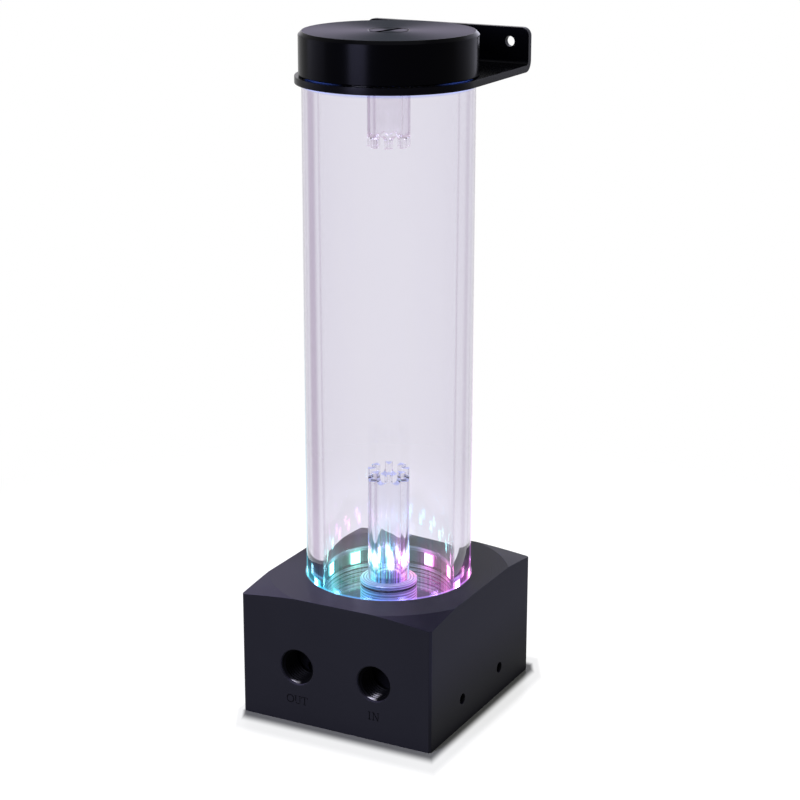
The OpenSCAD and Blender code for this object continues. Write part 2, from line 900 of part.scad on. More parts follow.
module cap_oring() {
    color("black")
        oring(cap_seal_r, neck_top_z + move_gap / 2 + large_seal_r, large_seal_r - move_gap / 2);
}

module cap() {
    color([0.06, 0.06, 0.07])
        difference() {
            union() {
                difference() {
                    translate([0, 0, cap_z]) rotate_extrude()
                        polygon([
                            [0, 0], [cap_r - cap_foot_chamfer, 0], [cap_r, cap_foot_chamfer],
                            [cap_r, cap_top_z - cap_z - cap_chamfer],
                            [cap_r - cap_chamfer, cap_top_z - cap_z], [0, cap_top_z - cap_z]
                        ]);
                    translate([0, 0, cap_z - over])
                        cylinder(r = cap_bore_r, h = ceiling_z - cap_z + over);
                }
                // Boss that holds the drop tube
                translate([0, 0, drop_boss_z]) cylinder(r = drop_boss_r, h = ceiling_z - drop_boss_z);
            }
            // Groove for the cap's seal
            translate([0, 0, ceiling_z - over])
                pipe(cap_seal_r + large_seal_r, cap_seal_r - large_seal_r, over + cap_seal_h);
            // Threaded hole for the fill plug, and the bore below it
            translate([0, 0, plug_shoulder_z]) cylinder(r = plug_bore_r, h = plug_hole_depth + over);
            translate([0, 0, cap_top_z - plug_chamfer])
                cylinder(r1 = plug_bore_r, r2 = plug_bore_r + plug_chamfer + over, h = plug_chamfer + over);
            translate([0, 0, drop_boss_z]) cylinder(r = water_bore_r, h = cap_top_z - drop_boss_z);
            // Socket for the drop tube, with the groove of its ring
            translate([0, 0, drop_boss_z - over])
                cylinder(r = grip_r, h = drop_top_z - drop_boss_z + over);
            translate([0, 0, drop_seal_z - small_seal_r])
                cylinder(r = drop_seal_r + small_seal_r, h = 2 * small_seal_r);
        }
}

module drop_tube_oring() {
    color("black") oring(drop_seal_r, drop_seal_z, small_seal_r - seal_fit);
}

module drop_tube() {
    color("lavender", 0.5)
        translate([0, 0, drop_top_z]) mirror([0, 0, 1]) castellated_tube(drop_h);
}

// ---- Fill plug ----

module plug_oring() {
    color("black") oring(water_bore_r + 0.3 + small_seal_r, plug_seal_z, small_seal_r);
}

module fill_plug() {
    color([0.06, 0.06, 0.07])
        difference() {
            translate([0, 0, plug_z]) cylinder(r = plug_r, h = cap_top_z - plug_z);
            rotate(coin_slot_turn)
                translate([-plug_r - over, -coin_slot_w / 2, cap_top_z - coin_slot_depth])
                    cube([2 * (plug_r + over), coin_slot_w, coin_slot_depth + over]);
        }
}

base_block();
base_cover();
cover_oring();
cover_screws();
cable_grommet();
motor_board();
stator_core();
stator_coils();
separator_can();
can_oring();
can_screws();
pump_shaft();
thrust_washer();
rotor_bush();
rotor_magnet();
impeller();
volute_insert();
led_strip();
leds();
fitting_oring();
riser_fitting();
riser_oring();
riser_collar();
riser_tube();
tank_oring();
tank_tube();
bracket();
cap_oring();
cap();
drop_tube_oring();
drop_tube();
plug_oring();
fill_plug();
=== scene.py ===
# %% [markdown]
# # Coolant pump reservoir
# A pump block carries an upright clear tank, closed by a screw cap, with a sheet bracket round
# its neck. The solid model holds every part at its real size. This lesson loads it as a fixed
# frame, dresses each part, and remodels the ones whose glass or turned edges need finer faces
# than a solid model gives. The CAD nodes are kept in the scene.

# %% Load the frame
import math

import bmesh
import bpy
from mathutils import Matrix, Vector


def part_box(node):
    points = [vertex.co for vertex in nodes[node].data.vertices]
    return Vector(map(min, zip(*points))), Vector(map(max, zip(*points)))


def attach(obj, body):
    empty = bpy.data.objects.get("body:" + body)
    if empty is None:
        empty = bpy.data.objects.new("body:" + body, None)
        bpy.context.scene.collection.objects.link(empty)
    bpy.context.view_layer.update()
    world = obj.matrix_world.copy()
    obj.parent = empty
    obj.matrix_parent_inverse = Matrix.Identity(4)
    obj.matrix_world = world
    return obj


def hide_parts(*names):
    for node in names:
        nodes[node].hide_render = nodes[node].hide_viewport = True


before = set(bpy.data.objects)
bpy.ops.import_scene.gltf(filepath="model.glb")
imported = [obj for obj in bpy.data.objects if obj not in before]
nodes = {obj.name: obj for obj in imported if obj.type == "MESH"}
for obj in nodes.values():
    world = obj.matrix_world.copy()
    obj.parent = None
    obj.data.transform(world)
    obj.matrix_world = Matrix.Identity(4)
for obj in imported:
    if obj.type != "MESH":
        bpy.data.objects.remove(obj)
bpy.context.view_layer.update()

MM = 0.001
CENTRE = (0, 0, 0)
UP = (0, 0, 1)
scene = bpy.context.scene


def box_mm(node):
    """The lowest and highest corner of a CAD node, in millimetres."""
    low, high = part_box(node)
    return low / MM, high / MM


# %% [markdown]
# ## Camera
# A product shot is taken from some way off with a long lens, so that upright edges stay nearly
# upright. A camera could be aimed by a constraint. Here it is turned once instead, because the
# aim is only a direction from the camera to a point on the tank's axis. A small shift of the
# lens sets the framing without tilting the view.

# %% Camera
camera_at = Vector((0.33499, -0.63502, 0.32956))
camera_looks_at = Vector((0, 0, 0.11503))
camera_data = bpy.data.cameras.new("camera")
camera_data.lens = 94.35
camera_data.sensor_width = 36
camera_data.shift_x = 0.0141
camera_data.shift_y = -0.0086
camera = bpy.data.objects.new("camera", camera_data)
camera.location = camera_at
camera.rotation_euler = (camera_looks_at - camera_at).to_track_quat("-Z", "Y").to_euler()
scene.collection.objects.link(camera)
scene.camera = camera
scene.view_settings.view_transform = "Standard"
print("camera distance in mm", round((camera_looks_at - camera_at).length / MM, 1))

# %% [markdown]
# ## Writing shaders as sums
# A finish is a small calculation for each point of the surface. It could be wired up by hand in
# the node editor. Written as Python sums it is shorter and easier to read: `Value` wraps one
# socket, so that `1 - mask` adds a Math node.

# %% Values
def put(socket, value):
    """Links a Value to a socket, or sets the socket to a number, a colour or a vector."""
    if isinstance(value, Value):
        socket.id_data.links.new(value.socket, socket)
    elif socket.type == "RGBA" and len(value) == 3:
        socket.default_value = (*value, 1)
    else:
        socket.default_value = value


class Value:
    """A number, colour or vector in a shader. Operators on numbers add Math nodes."""

    def __init__(self, shading, socket):
        self.shading, self.socket = shading, socket

    def sum(self, operation, *numbers):
        return self.shading.node(
            "ShaderNodeMath", {"operation": operation}, dict(enumerate(numbers))
        )

    def __add__(self, other):
        return self.sum("ADD", self, other)

    def __sub__(self, other):
        return self.sum("SUBTRACT", self, other)

    def __rsub__(self, other):
        return self.sum("SUBTRACT", other, self)

    def __mul__(self, other):
        return self.sum("MULTIPLY", self, other)

    def __truediv__(self, other):
        return self.sum("DIVIDE", self, other)

    def __pow__(self, other):
        return self.sum("POWER", self, other)

    def sine(self):
        return self.sum("SINE", self)

    def size(self):
        return self.sum("ABSOLUTE", self)

    def most(self, other):
        return self.sum("MAXIMUM", self, other)

    __radd__ = __add__
    __rmul__ = __mul__


print("operators on values ready")

# %% [markdown]
# ## One material's nodes
# A material, or the world, is a tree of nodes. `Shading.node` makes every node that isn't a sum,
# with its settings first, because some of them change which sockets the node has. The methods
# after it are the few patterns that every finish here is made of: masks, mixes and noises.

# %% Shading
class Shading:
    """The nodes of one material or of the world."""

    def __init__(self, owner):
        owner.use_nodes = True
        self.tree = owner.node_tree

    def node(self, kind, settings=None, sockets=None, output=0):
        """Makes a node, with its settings first and then its sockets' values or links."""
        settings = dict(settings or {})
        node = self.tree.nodes.new(kind)
        stops = settings.pop("stops", None)
        if stops:
            elements = node.color_ramp.elements
            while len(elements) < len(stops):
                elements.new(0)
            for element, (place, colour) in zip(elements, stops):
                element.position, element.color = place, (*colour, 1)
        for name, value in settings.items():
            setattr(node, name, value)
        for key, value in (sockets or {}).items():
            put(node.inputs[key], value)
        return Value(self, node.outputs[output])

    def step(self, value, low, high):
        """A mask that climbs smoothly from 0 at low to 1 at high."""
        settings = {"interpolation_type": "SMOOTHSTEP"}
        return self.node("ShaderNodeMapRange", settings, {0: value, 1: low, 2: high})

    def band(self, value, low, high, soft):
        """A mask that is 1 between low and high, with soft ends."""
        inside = self.step(value, low - soft, low + soft)
        return inside * (1 - self.step(value, high - soft, high + soft))

    def mix(self, share, first, second):
        """A colour between two colours."""
        return self.node(
            "ShaderNodeMix", {"data_type": "RGBA"}, {0: share, 6: first, 7: second}, 2
        )

    def scaled(self, colour, number):
        """A colour made stronger or weaker."""
        return self.node("ShaderNodeVectorMath", {"operation": "SCALE"}, {0: colour, 3: number})

    def added(self, first, second):
        """Two colours of light together."""
        return self.node("ShaderNodeVectorMath", {"operation": "ADD"}, {0: first, 1: second})

    def joined(self, x, y, z):
        """A vector from three numbers."""
        return self.node("ShaderNodeCombineXYZ", None, {0: x, 1: y, 2: z})

    def ridges(self, value, pitch):
        """Even waves from 0 to 1 and back, one in each pitch."""
        return (value * (2 * math.pi / pitch)).sine() * 0.5 + 0.5

    def noise(self, vector, scale, detail=2.0):
        """Cloudy values round 0.5, over a vector in millimetres."""
        return self.node(
            "ShaderNodeTexNoise", None, {"Vector": vector, "Scale": scale, "Detail": detail}
        )

    def lines(self, value, scale, detail=2.0):
        """Random lines across one value, as a tool leaves them."""
        settings = {"noise_dimensions": "1D"}
        return self.node(
            "ShaderNodeTexNoise", settings, {"W": value, "Scale": scale, "Detail": detail}
        )


print("shading ready")

# %% [markdown]
# ## A finish
# Every finish is one Principled material. Its patterns could follow a UV map, but a machined
# part is easier to describe by where a point lies: its height, its distance from the axis and
# its direction. Object coordinates give that, and here they are turned into millimetres.

# %% Finish
class Finish(Shading):
    """A Principled material whose patterns are measured in millimetres on the object."""

    def __init__(self, name, **surface):
        self.material = bpy.data.materials.new(name)
        super().__init__(self.material)
        self.surface = self.tree.nodes["Principled BSDF"]
        for key, value in surface.items():
            put(self.surface.inputs[key.replace("_", " ")], value)
        here = self.node("ShaderNodeTexCoord", output=3)
        scale = {"operation": "SCALE"}
        self.place = self.node("ShaderNodeVectorMath", scale, {0: here, 3: 1 / MM})
        self.x, self.y, self.z = [
            self.node("ShaderNodeSeparateXYZ", None, {0: self.place}, axis) for axis in range(3)
        ]

    def radius(self, x=0, y=0):
        """Distance from an upright axis."""
        return ((self.x - x) ** 2 + (self.y - y) ** 2) ** 0.5

    def turn(self):
        """Direction about the object's axis, from -180 to 180 degrees."""
        return self.y.sum("ARCTAN2", self.y, self.x) * (180 / math.pi)

    def sided(self, offset):
        """1 on one side of the upright axis and -1 on the other. The offset turns it."""
        return ((self.turn() + offset) * (math.pi / 180)).sine()

    def facing(self, axis):
        """How far a face looks along an axis of the object."""
        normal = self.node("ShaderNodeTexCoord", output=1)
        return self.node("ShaderNodeSeparateXYZ", None, {0: normal}, axis)

    def feed(self, name, value):
        """Sets or links one socket of the surface."""
        put(self.surface.inputs[name], value)

    def shine(self, colour):
        """Gives the surface light of its own."""
        self.feed("Emission Color", colour)
        self.feed("Emission Strength", 1.0)

    def bump(self, height, depth, strength=1.0):
        """Raises the surface by up to depth millimetres where height is 1."""
        sockets = {"Height": height, "Distance": depth * MM, "Strength": strength}
        self.feed("Normal", self.node("ShaderNodeBump", None, sockets))


def wear(finish, *names):
    """Gives CAD nodes a finish. Their meshes stay as they are."""
    for name in names:
        materials = nodes[name].data.materials
        materials.clear()
        materials.append(finish.material)


print("finish ready")

# %% [markdown]
# ## Surroundings
# The part stands in a white studio. A strong white sky would light it from everywhere and turn
# its black metal grey. So the world is white only as the camera, mirrors and glass see it, and
# lights the part at a lower level. Light Path tells the two kinds of ray apart.

# %% Surroundings
block_low, block_high = box_mm("base_block")
SKY_LEVEL = 0.30
WHITE = (1.0, 1.0, 1.0)


def seen_directly(shading):
    """1 for rays from the camera, from a mirror or through glass, and 0 for the others."""
    camera_ray, mirror_ray, glass_ray = [
        shading.node("ShaderNodeLightPath", output=f"Is {kind} Ray")
        for kind in ("Camera", "Glossy", "Transmission")
    ]
    return camera_ray.most(mirror_ray).most(glass_ray)


world = bpy.data.worlds.new("studio")
scene.world = world
sky = Shading(world)
sky.tree.nodes.clear()
plain = sky.node("ShaderNodeBackground", None, {0: WHITE, 1: SKY_LEVEL})
white = sky.node("ShaderNodeBackground", None, {0: WHITE, 1: 1.0})
shown = sky.node("ShaderNodeMixShader", None, {0: seen_directly(sky), 1: plain, 2: white})
put(sky.tree.nodes.new("ShaderNodeOutputWorld").inputs[0], shown)
print("sky level", SKY_LEVEL)

# %% [markdown]
# ## Floor
# The floor is a sheet of pale paper, and most of it is as white as the world. Near the block it
# is left dimmer, so that the block's contact shadow shows. That dim patch could be left to the
# lamps alone, but soft light spreads it wide. So the contact shadow is partly painted: the
# paper's own light fades in with distance, close to the block on its left and behind it, and
# further off in front and on the right. The lamps add a real shadow on the paper's dim colour.

# %% Floor
FLOOR_SIDE = 6.0
FLOOR_DROP = 0.02 * MM
FLOOR_ALBEDO = (0.12, 0.122, 0.108)
FLOOR_OWN_LIGHT = 0.92
FRONT_REACH = 0.6
LEFT_START = block_low.x + 1.5
LEFT_SLOPE, LEFT_GAIN = 0.53, 2
BACK_END = block_high.y + 1.0
BACK_SLOPE, BACK_GAIN = 1.9, 0.9
NEAR_FADE, NEAR_SHARE = (1.2, 4.8), 0.8
FAR_FADE, FAR_SHARE = (6.5, 10.5), 0.2
CLEAN_FROM = 0.16
CLEAN_TO = 0.30

floor_form = bmesh.new()
bmesh.ops.create_grid(floor_form, x_segments=1, y_segments=1, size=FLOOR_SIDE / 2)
bmesh.ops.translate(floor_form, verts=floor_form.verts, vec=(0, 0, -FLOOR_DROP))
floor_mesh = bpy.data.meshes.new("floor")
floor_form.to_mesh(floor_mesh)
floor_form.free()
floor = bpy.data.objects.new("floor", floor_mesh)
scene.collection.objects.link(floor)

paper = Finish("studio floor", Base_Color=FLOOR_ALBEDO, Roughness=0.35, Specular_IOR_Level=0.1)
direct = seen_directly(paper)
right_gap = (paper.x - block_high.x).most(0)
front_gap = (block_low.y - paper.y).most(0)
lit_left = (front_gap * LEFT_SLOPE + LEFT_START - paper.x) * LEFT_GAIN
lit_back = (right_gap * BACK_SLOPE + paper.y - BACK_END) * BACK_GAIN
beside = right_gap.most(front_gap * FRONT_REACH).most(lit_left).most(lit_back)
# Painted shadow: near the block the paper's own light is held back.
open_floor = paper.step(beside, *NEAR_FADE) * NEAR_SHARE + paper.step(beside, *FAR_FADE) * FAR_SHARE
paper.shine(paper.scaled(WHITE, direct * open_floor * FLOOR_OWN_LIGHT))
even_light = direct * (1 - SKY_LEVEL) + SKY_LEVEL
clean = paper.node("ShaderNodeEmission", None, {0: paper.scaled(WHITE, even_light)})
away = paper.step(paper.radius(), CLEAN_FROM / MM, CLEAN_TO / MM)
surface_now = Value(paper, paper.surface.outputs[0])
whole_floor = paper.node("ShaderNodeMixShader", None, {0: away, 1: surface_now, 2: clean})
put(paper.tree.nodes["Material Output"].inputs[0], whole_floor)
floor_mesh.materials.append(paper.material)
print("floor side in m", FLOOR_SIDE)

# %% [markdown]
# ## Lamps
# Soft area lamps give the block three clearly different sides and the cap its upright
# highlights. A polished cap mirrors whatever stands round it, so its highlights are placed by
# placing strips of light. The tank below would mirror them too, so each strip hangs high enough
# that the camera's view of the tank misses it. One low wide lamp stands opposite the camera,
# where level faces such as the block's top mirror it.

# %% Lamps
AIM = Vector((0, 0, 0.10))
CAP_FOOT = box_mm("cap")[0].z * MM
MIRROR_FOOT = CAP_FOOT - 3 * MM
VIOLET_WHITE = (0.72, 0.72, 1.0)
LILAC_WHITE = (0.9, 0.84, 1.0)
STRIP_HEIGHT = 0.5
FALL = (camera_at.z - CAP_FOOT) / camera_at.xy.length


def lamp(name, at, width, height, radiance, colour=WHITE):
    """A rectangular lamp that faces the part. Its radiance is the brightness of its face."""
    data = bpy.data.lights.new(name, "AREA")
    data.color = colour
    data.shape = "RECTANGLE"
    data.size, data.size_y = width, height
    data.energy = radiance * math.pi * width * height
    made = bpy.data.objects.new(name, data)
    made.location = at
    made.rotation_euler = (AIM - Vector(at)).to_track_quat("-Z", "Y").to_euler()
    scene.collection.objects.link(made)
    return made


def upright(name, bearing, away, width, radiance):
    """An upright strip, so high that the cap mirrors it to the camera and the tank doesn't."""
    turn = math.radians(bearing)
    foot = MIRROR_FOOT - FALL * away
    at = (away * math.cos(turn), away * math.sin(turn), foot + STRIP_HEIGHT / 2)
    made = lamp(name, at, width, STRIP_HEIGHT, radiance, VIOLET_WHITE)
    made.rotation_euler = (math.pi / 2, 0, turn + math.pi / 2)


lamp("overhead", (0.15, -0.25, 1.25), 1.0, 1.0, 1.6)
upright("left_strip", -101, 0.62, 0.24, 26.0)
upright("left_side", -166, 0.62, 0.40, 2.2)
upright("right_rear", 70, 0.66, 1.1, 1.3)
lamp("rear_low", (-0.42, 0.79, 0.36), 0.9, 0.22, 0.6, LILAC_WHITE)

# %% [markdown]
# ## The ring of coloured lamps
# Eleven small lamps stand round the tank's foot, each of another colour: green and cyan on the
# left, blue in front, violet and pink on the right. Every surface near them takes the colour of
# the nearest lamps. Real lamps could light them, but light that has to find its way through
# thick plastic gives a grainy picture. So it is painted as light of the surface's own, with a
# colour ramp that is read by direction about the axis.

# %% Lamp colours
LAMP_COLOURS = [
    (-180, (0.22, 1.0, 0.95)), (-147, (0.08, 0.80, 1.0)), (-115, (0.05, 0.55, 1.0)),
    (-82, (0.10, 0.32, 1.0)), (-49, (0.30, 0.26, 1.0)), (-17, (0.55, 0.24, 1.0)),
    (16, (0.75, 0.26, 1.0)), (42, (1.0, 0.22, 0.62)), (62, (1.0, 0.20, 0.62)),
    (82, (1.0, 0.22, 0.85)), (100, (0.45, 0.85, 1.0)), (120, (0.22, 1.0, 0.90)),
    (147, (0.25, 1.0, 0.66)), (180, (0.22, 1.0, 0.95)),
]
LAMP_COUNT = 11
LAMP_TURN = 16
lamp_low, lamp_high = box_mm("leds")
LAMP_Z = (lamp_low.z + lamp_high.z) / 2


def lamp_colour(finish):
    """The colour of the lamps in the direction of each point."""
    stops = [((turn + 180) / 360, colour) for turn, colour in LAMP_COLOURS]
    return finish.node("ShaderNodeValToRGB", {"stops": stops}, {0: finish.turn() / 360 + 0.5})


def near_lamps(finish, sharpness=2):
    """1 in the direction of a lamp and 0 halfway to the next one."""
    first = math.radians(90 - LAMP_COUNT * LAMP_TURN / 2)
    angle = finish.turn() * (LAMP_COUNT * math.pi / 360) + first
    return angle.sine().size() ** sharpness


def glow(finish, strength, paleness=0.0):
    """Gives light of its own in the lamps' colours or a paler shade of them: a lamp's own
    light, or painted lamplight on any other surface.
    """
    finish.shine(finish.scaled(finish.mix(paleness, lamp_colour(finish), WHITE), strength))


print("lamp height in mm", round(LAMP_Z, 2))

# %% [markdown]
# ## Modelling helpers
# Most parts here were turned on a lathe, so they are modelled the same way: an outline beside
# the axis is spun once round. Others start from a copy of the solid's mesh, whose triangles are
# merged and whose edges are then eased, because a real machined edge is never quite sharp.

# %% Modelling helpers
SHARP = math.radians(30)
STEPS = 160
WELD = 0.001 * MM


def tidy(form):
    """Closes seams and poles, and turns every face outwards."""
    bmesh.ops.remove_doubles(form, verts=form.verts, dist=WELD)
    bmesh.ops.recalc_face_normals(form, faces=form.faces)


def turned(outline, steps=STEPS):
    """Spins a closed outline of (radius, height) points, in millimetres, round the axis."""
    form = bmesh.new()
    corners = [form.verts.new((r * MM, 0, z * MM)) for r, z in outline]
    edges = [form.edges.new(pair) for pair in zip(corners, corners[1:] + corners[:1])]
    bmesh.ops.spin(
        form, geom=corners + edges, cent=CENTRE, axis=UP, angle=2 * math.pi, steps=steps,
        use_merge=True,
    )
    tidy(form)
    return form


def ease(form, width, segments=2, where=None):
    """Rounds the sharp edges of a form."""
    sharp = [
        e for e in form.edges
        if e.is_manifold and e.calc_face_angle(0) > SHARP and (where is None or where(e))
    ]
    bmesh.ops.bevel(
        form, geom=sharp, offset=width * MM, offset_type="OFFSET", affect="EDGES",
        segments=segments, profile=0.5, material=-1, clamp_overlap=True,
    )
    return form


def copied(node):
    """A CAD node's mesh as one merged form with whole faces, free to be changed."""
    form = bmesh.new()
    form.from_mesh(nodes[node].data)
    bmesh.ops.remove_doubles(form, verts=form.verts, dist=WELD)
    bmesh.ops.dissolve_limit(
        form, angle_limit=math.radians(0.5), verts=form.verts, edges=form.edges,
        use_dissolve_boundaries=False,
    )
    return form


def as_object(name, form):
    """Puts a form in the scene as an object, and frees it."""
    mesh = bpy.data.meshes.new(name)
    form.to_mesh(mesh)
    form.free()
    made = bpy.data.objects.new(name, mesh)
    scene.collection.objects.link(made)
    return made


def piece(name, form, finish, body, slot, *stood_for, crisp=SHARP):
    """A finished piece, smooth over its curves and crisp at its edges, riding on its body."""
    for face in form.faces:
        face.smooth = True
    for edge in form.edges:
        edge.smooth = not (edge.is_manifold and edge.calc_face_angle(0) > crisp)
    made = as_object(name, form)
    flat_faces = made.modifiers.new("flat faces", "WEIGHTED_NORMAL")
    flat_faces.keep_sharp = True
    for each in finish if isinstance(finish, list) else [finish]:
        made.data.materials.append(each.material)
    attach(made, body)
    if stood_for:
        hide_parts(*stood_for)
    print(name, len(made.data.vertices), "points")
    return made


print("modelling helpers ready")

# %% [markdown]
# ## Block finish
# The block is bead-blasted and anodised black with a violet cast, and its top keeps the fine
# rings of the lathe. Anodising is a thin dyed glass-like layer: little colour, a weak mirror,
# and a roughness that changes slightly from place to place. One plain black would do for the
# front, but the right side and the left of the top catch more light, so that light is painted
# in: they are mixed towards a lighter shade, and the right side's painted light fades out
# towards its foot. Inside the ports the wall is painted near-black as shade. The mirror is kept
# weak with the specular level, because in white surroundings a full one would turn black into
# grey.

# %% Block finish
BLOCK_TOP = block_high.z
BLAST_SCALE = 2.4
PORT_X, PORT_Z, PORT_DEPTH = 15.5, 21.5, 12.0
PORT_SHADE_R = (7.2, 7.6)
LEFT_TURN = 212
FRONT_DARK, FRONT_LIGHT = (0.0072, 0.0072, 0.0086), (0.0096, 0.0096, 0.0112)
SIDE_PAINTED_LIGHT, TOP_LEFT_PAINTED_LIGHT = (0.031, 0.031, 0.048), (0.032, 0.029, 0.044)
RING_DARK, RING_LIGHT = (0.002, 0.002, 0.006), (0.008, 0.007, 0.013)
PORT_PAINTED_SHADE = (0.0015, 0.0015, 0.002)

block_skin = Finish(
    "block anodising", Specular_IOR_Level=0.045, Specular_Tint=(0.75, 0.75, 1.0, 1.0)
)
upward = block_skin.step(block_skin.facing(2), 0.6, 0.9)
grain = block_skin.noise(block_skin.place, BLAST_SCALE, 4.0)
cloud = block_skin.noise(block_skin.place, 0.03)
rings = block_skin.lines(block_skin.radius(), 2.4, 3.0)
# Painted light: the right side is mixed lighter, less towards its foot, and so is the left of the
# top.
painted_side_light = block_skin.step(block_skin.z, 4, 34) * block_skin.step(block_skin.facing(0), 0.6, 0.9)
front_colour = block_skin.mix(cloud, FRONT_DARK, FRONT_LIGHT)
side_colour = block_skin.mix(painted_side_light, front_colour, SIDE_PAINTED_LIGHT)
ring_colour = block_skin.mix(rings, RING_DARK, RING_LIGHT)
painted_top_light = block_skin.step(block_skin.sided(LEFT_TURN), 0.1, 0.9)
top_colour = block_skin.mix(painted_top_light, ring_colour, TOP_LEFT_PAINTED_LIGHT)
skin_colour = block_skin.mix(upward, side_colour, top_colour)
# Painted shade: the wall inside each port is mixed to near-black.
port_r = ((block_skin.x.size() - PORT_X) ** 2 + (block_skin.z - PORT_Z) ** 2) ** 0.5
port_depth = block_skin.y - block_low.y
past_port = block_skin.step(port_depth, PORT_DEPTH + 1, PORT_DEPTH + 2)
in_port = block_skin.step(port_depth, 0.2, 2.5) * (1 - past_port)
in_port = in_port * (1 - block_skin.step(port_r, *PORT_SHADE_R))
block_skin.feed("Base Color", block_skin.mix(in_port, skin_colour, PORT_PAINTED_SHADE))
block_skin.feed("Roughness", 0.5 + grain * 0.1 - upward * (0.12 + rings * 0.08))
block_skin.bump(upward * rings * 0.6 + grain * (1 - upward) * 0.25, 0.02, 0.6)
print("block top in mm", round(BLOCK_TOP, 2))

# %% [markdown]
# ## Light in the socket
# The tank stands in a socket whose wall is cut with fine ribs, and the lamps shine straight on
# it. Their light is painted on the same material: brighter on the ribs and near each lamp,
# paler all round, and with a halo in the full colour close to each lamp. A second material
# could carry it, but then the lit wall and the dark top would need a border between them.

# %% Light in the socket
SOCKET_R = 30.25
FLOOR_Z = 32.0
RIB_PITCH = 1.3
HALO_REACH, HALO_LIGHT = 3.5, 1.3
PALE_BLUE, PALENESS = (0.60, 0.74, 1.0), 0.62

rib_wave = block_skin.ridges(block_skin.z, RIB_PITCH)
rib_light = rib_wave * block_skin.lines(block_skin.turn(), 0.05) * 1.3 + 0.45
wall_light = (0.36 + near_lamps(block_skin) * 0.3) * rib_light
floor_light = 0.08 + block_skin.lines(block_skin.radius(), 0.9, 1.0) * 0.3
is_floor = block_skin.step(block_skin.facing(2), 0.7, 0.9)
outside = block_skin.step(block_skin.radius(), SOCKET_R + 0.1, SOCKET_R + 0.3)
within = (1 - outside) * block_skin.step(block_skin.z, FLOOR_Z - 1, FLOOR_Z - 0.5)
inner_light = wall_light * (1 - is_floor) + floor_light * is_floor
lamp_height = block_skin.band(block_skin.z, LAMP_Z - HALO_REACH, LAMP_Z + HALO_REACH, 1.5)
pale_lamps = block_skin.mix(PALENESS, lamp_colour(block_skin), PALE_BLUE)
all_round = block_skin.scaled(pale_lamps, inner_light * within)
halo_share = near_lamps(block_skin, 4) * lamp_height * within * HALO_LIGHT
halo = block_skin.scaled(lamp_colour(block_skin), halo_share)
block_skin.shine(block_skin.added(all_round, halo))
print("socket radius in mm", SOCKET_R)

# %% [markdown]
# ## Thread and letter finishes
# The ports' threads are painted deep black, as shade deep in a port, except for a worn patch at
# the lower edge of each port, where fittings have rubbed the colour off and bare metal shows. It
# could be painted on an image. Here it is a product of masks: low in the port, left of its
# middle, near the rim, and only on faces that look outwards. The engraved letters have a matt
# floor.

# %% Thread and letter finishes
RUB_FOOT, RUB_TOP = PORT_Z - 6.1, PORT_Z - 5.5
RUB_LEFT, RUB_RIGHT, RUB_SOFT = -4.4, 0.6, 0.6
RUB_DEPTH, INLET_RUB_DEPTH = (1.0, 2.0), (4.6, 6.2)
BARE_METAL = (0.062, 0.060, 0.056)

thread_skin = Finish("cut thread", Specular_IOR_Level=0.01)
thread_marks = thread_skin.noise(thread_skin.place, 3.0, 3.0)
# Painted shade: the thread is near-black, as deep in a port.
thread_painted_shade = thread_skin.mix(thread_marks, (0.0005, 0.0005, 0.0008), PORT_PAINTED_SHADE)
low_in_port = 1 - thread_skin.step(thread_skin.z, RUB_FOOT, RUB_TOP)
inlet = thread_skin.step(thread_skin.x, -1, 1)
from_middle = thread_skin.x + PORT_X - inlet * (2 * PORT_X)
depth_in = thread_skin.y - block_low.y
rub_from, rub_to = [
    near + inlet * (far - near) for near, far in zip(RUB_DEPTH, INLET_RUB_DEPTH)
]
near_rim = 1 - thread_skin.step(depth_in, rub_from, rub_to)
rubbed = low_in_port * thread_skin.band(from_middle, RUB_LEFT, RUB_RIGHT, RUB_SOFT) * near_rim
bare = rubbed * (1 - thread_skin.step(thread_skin.facing(1), -0.75, -0.3))
thread_skin.feed("Base Color", thread_skin.mix(bare, thread_painted_shade, BARE_METAL))
thread_skin.feed("Metallic", bare)
thread_skin.feed("Roughness", 0.3 + thread_marks * 0.12)

letter_skin = Finish("engraved floor", Specular_IOR_Level=0.05, Roughness=0.8)
letter_grain = letter_skin.noise(letter_skin.place, 3.0, 3.0)
letter_black = letter_skin.mix(letter_grain, (0.002, 0.002, 0.003), (0.004, 0.004, 0.005))
letter_skin.feed("Base Color", letter_black)
print("thread and letter finishes ready")

# %% [markdown]
# ## Cap finish
# The cap is anodised like the block and polished further, so its side is a dark mirror. Its top
# was faced on a lathe. The rings that the tool leaves scatter light across themselves, and the
# eye sees two bright fans that meet at the middle. An anisotropic mirror would draw them, but
# they would move with every change of the lamps. So the fans are painted by direction.

# %% Cap finish
FAN_TURN = 62
CAP_TINT = (0.85, 0.85, 1.0, 1.0)
FAN_DARK, FAN_LIGHT = (0.115, 0.105, 0.128), (0.145, 0.134, 0.160)

cap_skin = Finish("cap anodising", Specular_IOR_Level=0.02, Specular_Tint=CAP_TINT)
cap_cloud = cap_skin.noise(cap_skin.place, 0.06)
side_black = cap_skin.mix(cap_cloud, (0.0001, 0.0001, 0.0003), (0.0003, 0.0003, 0.0006))
cap_skin.feed("Base Color", side_black)
cap_skin.feed("Roughness", 0.17 + cap_cloud * 0.06)
cap_skin.bump(cap_skin.lines(cap_skin.z, 3.0), 0.005, 0.7)

face_skin = Finish("turned top", Specular_IOR_Level=0.001)
face_rings = face_skin.lines(face_skin.radius(), 3.0, 3.0)
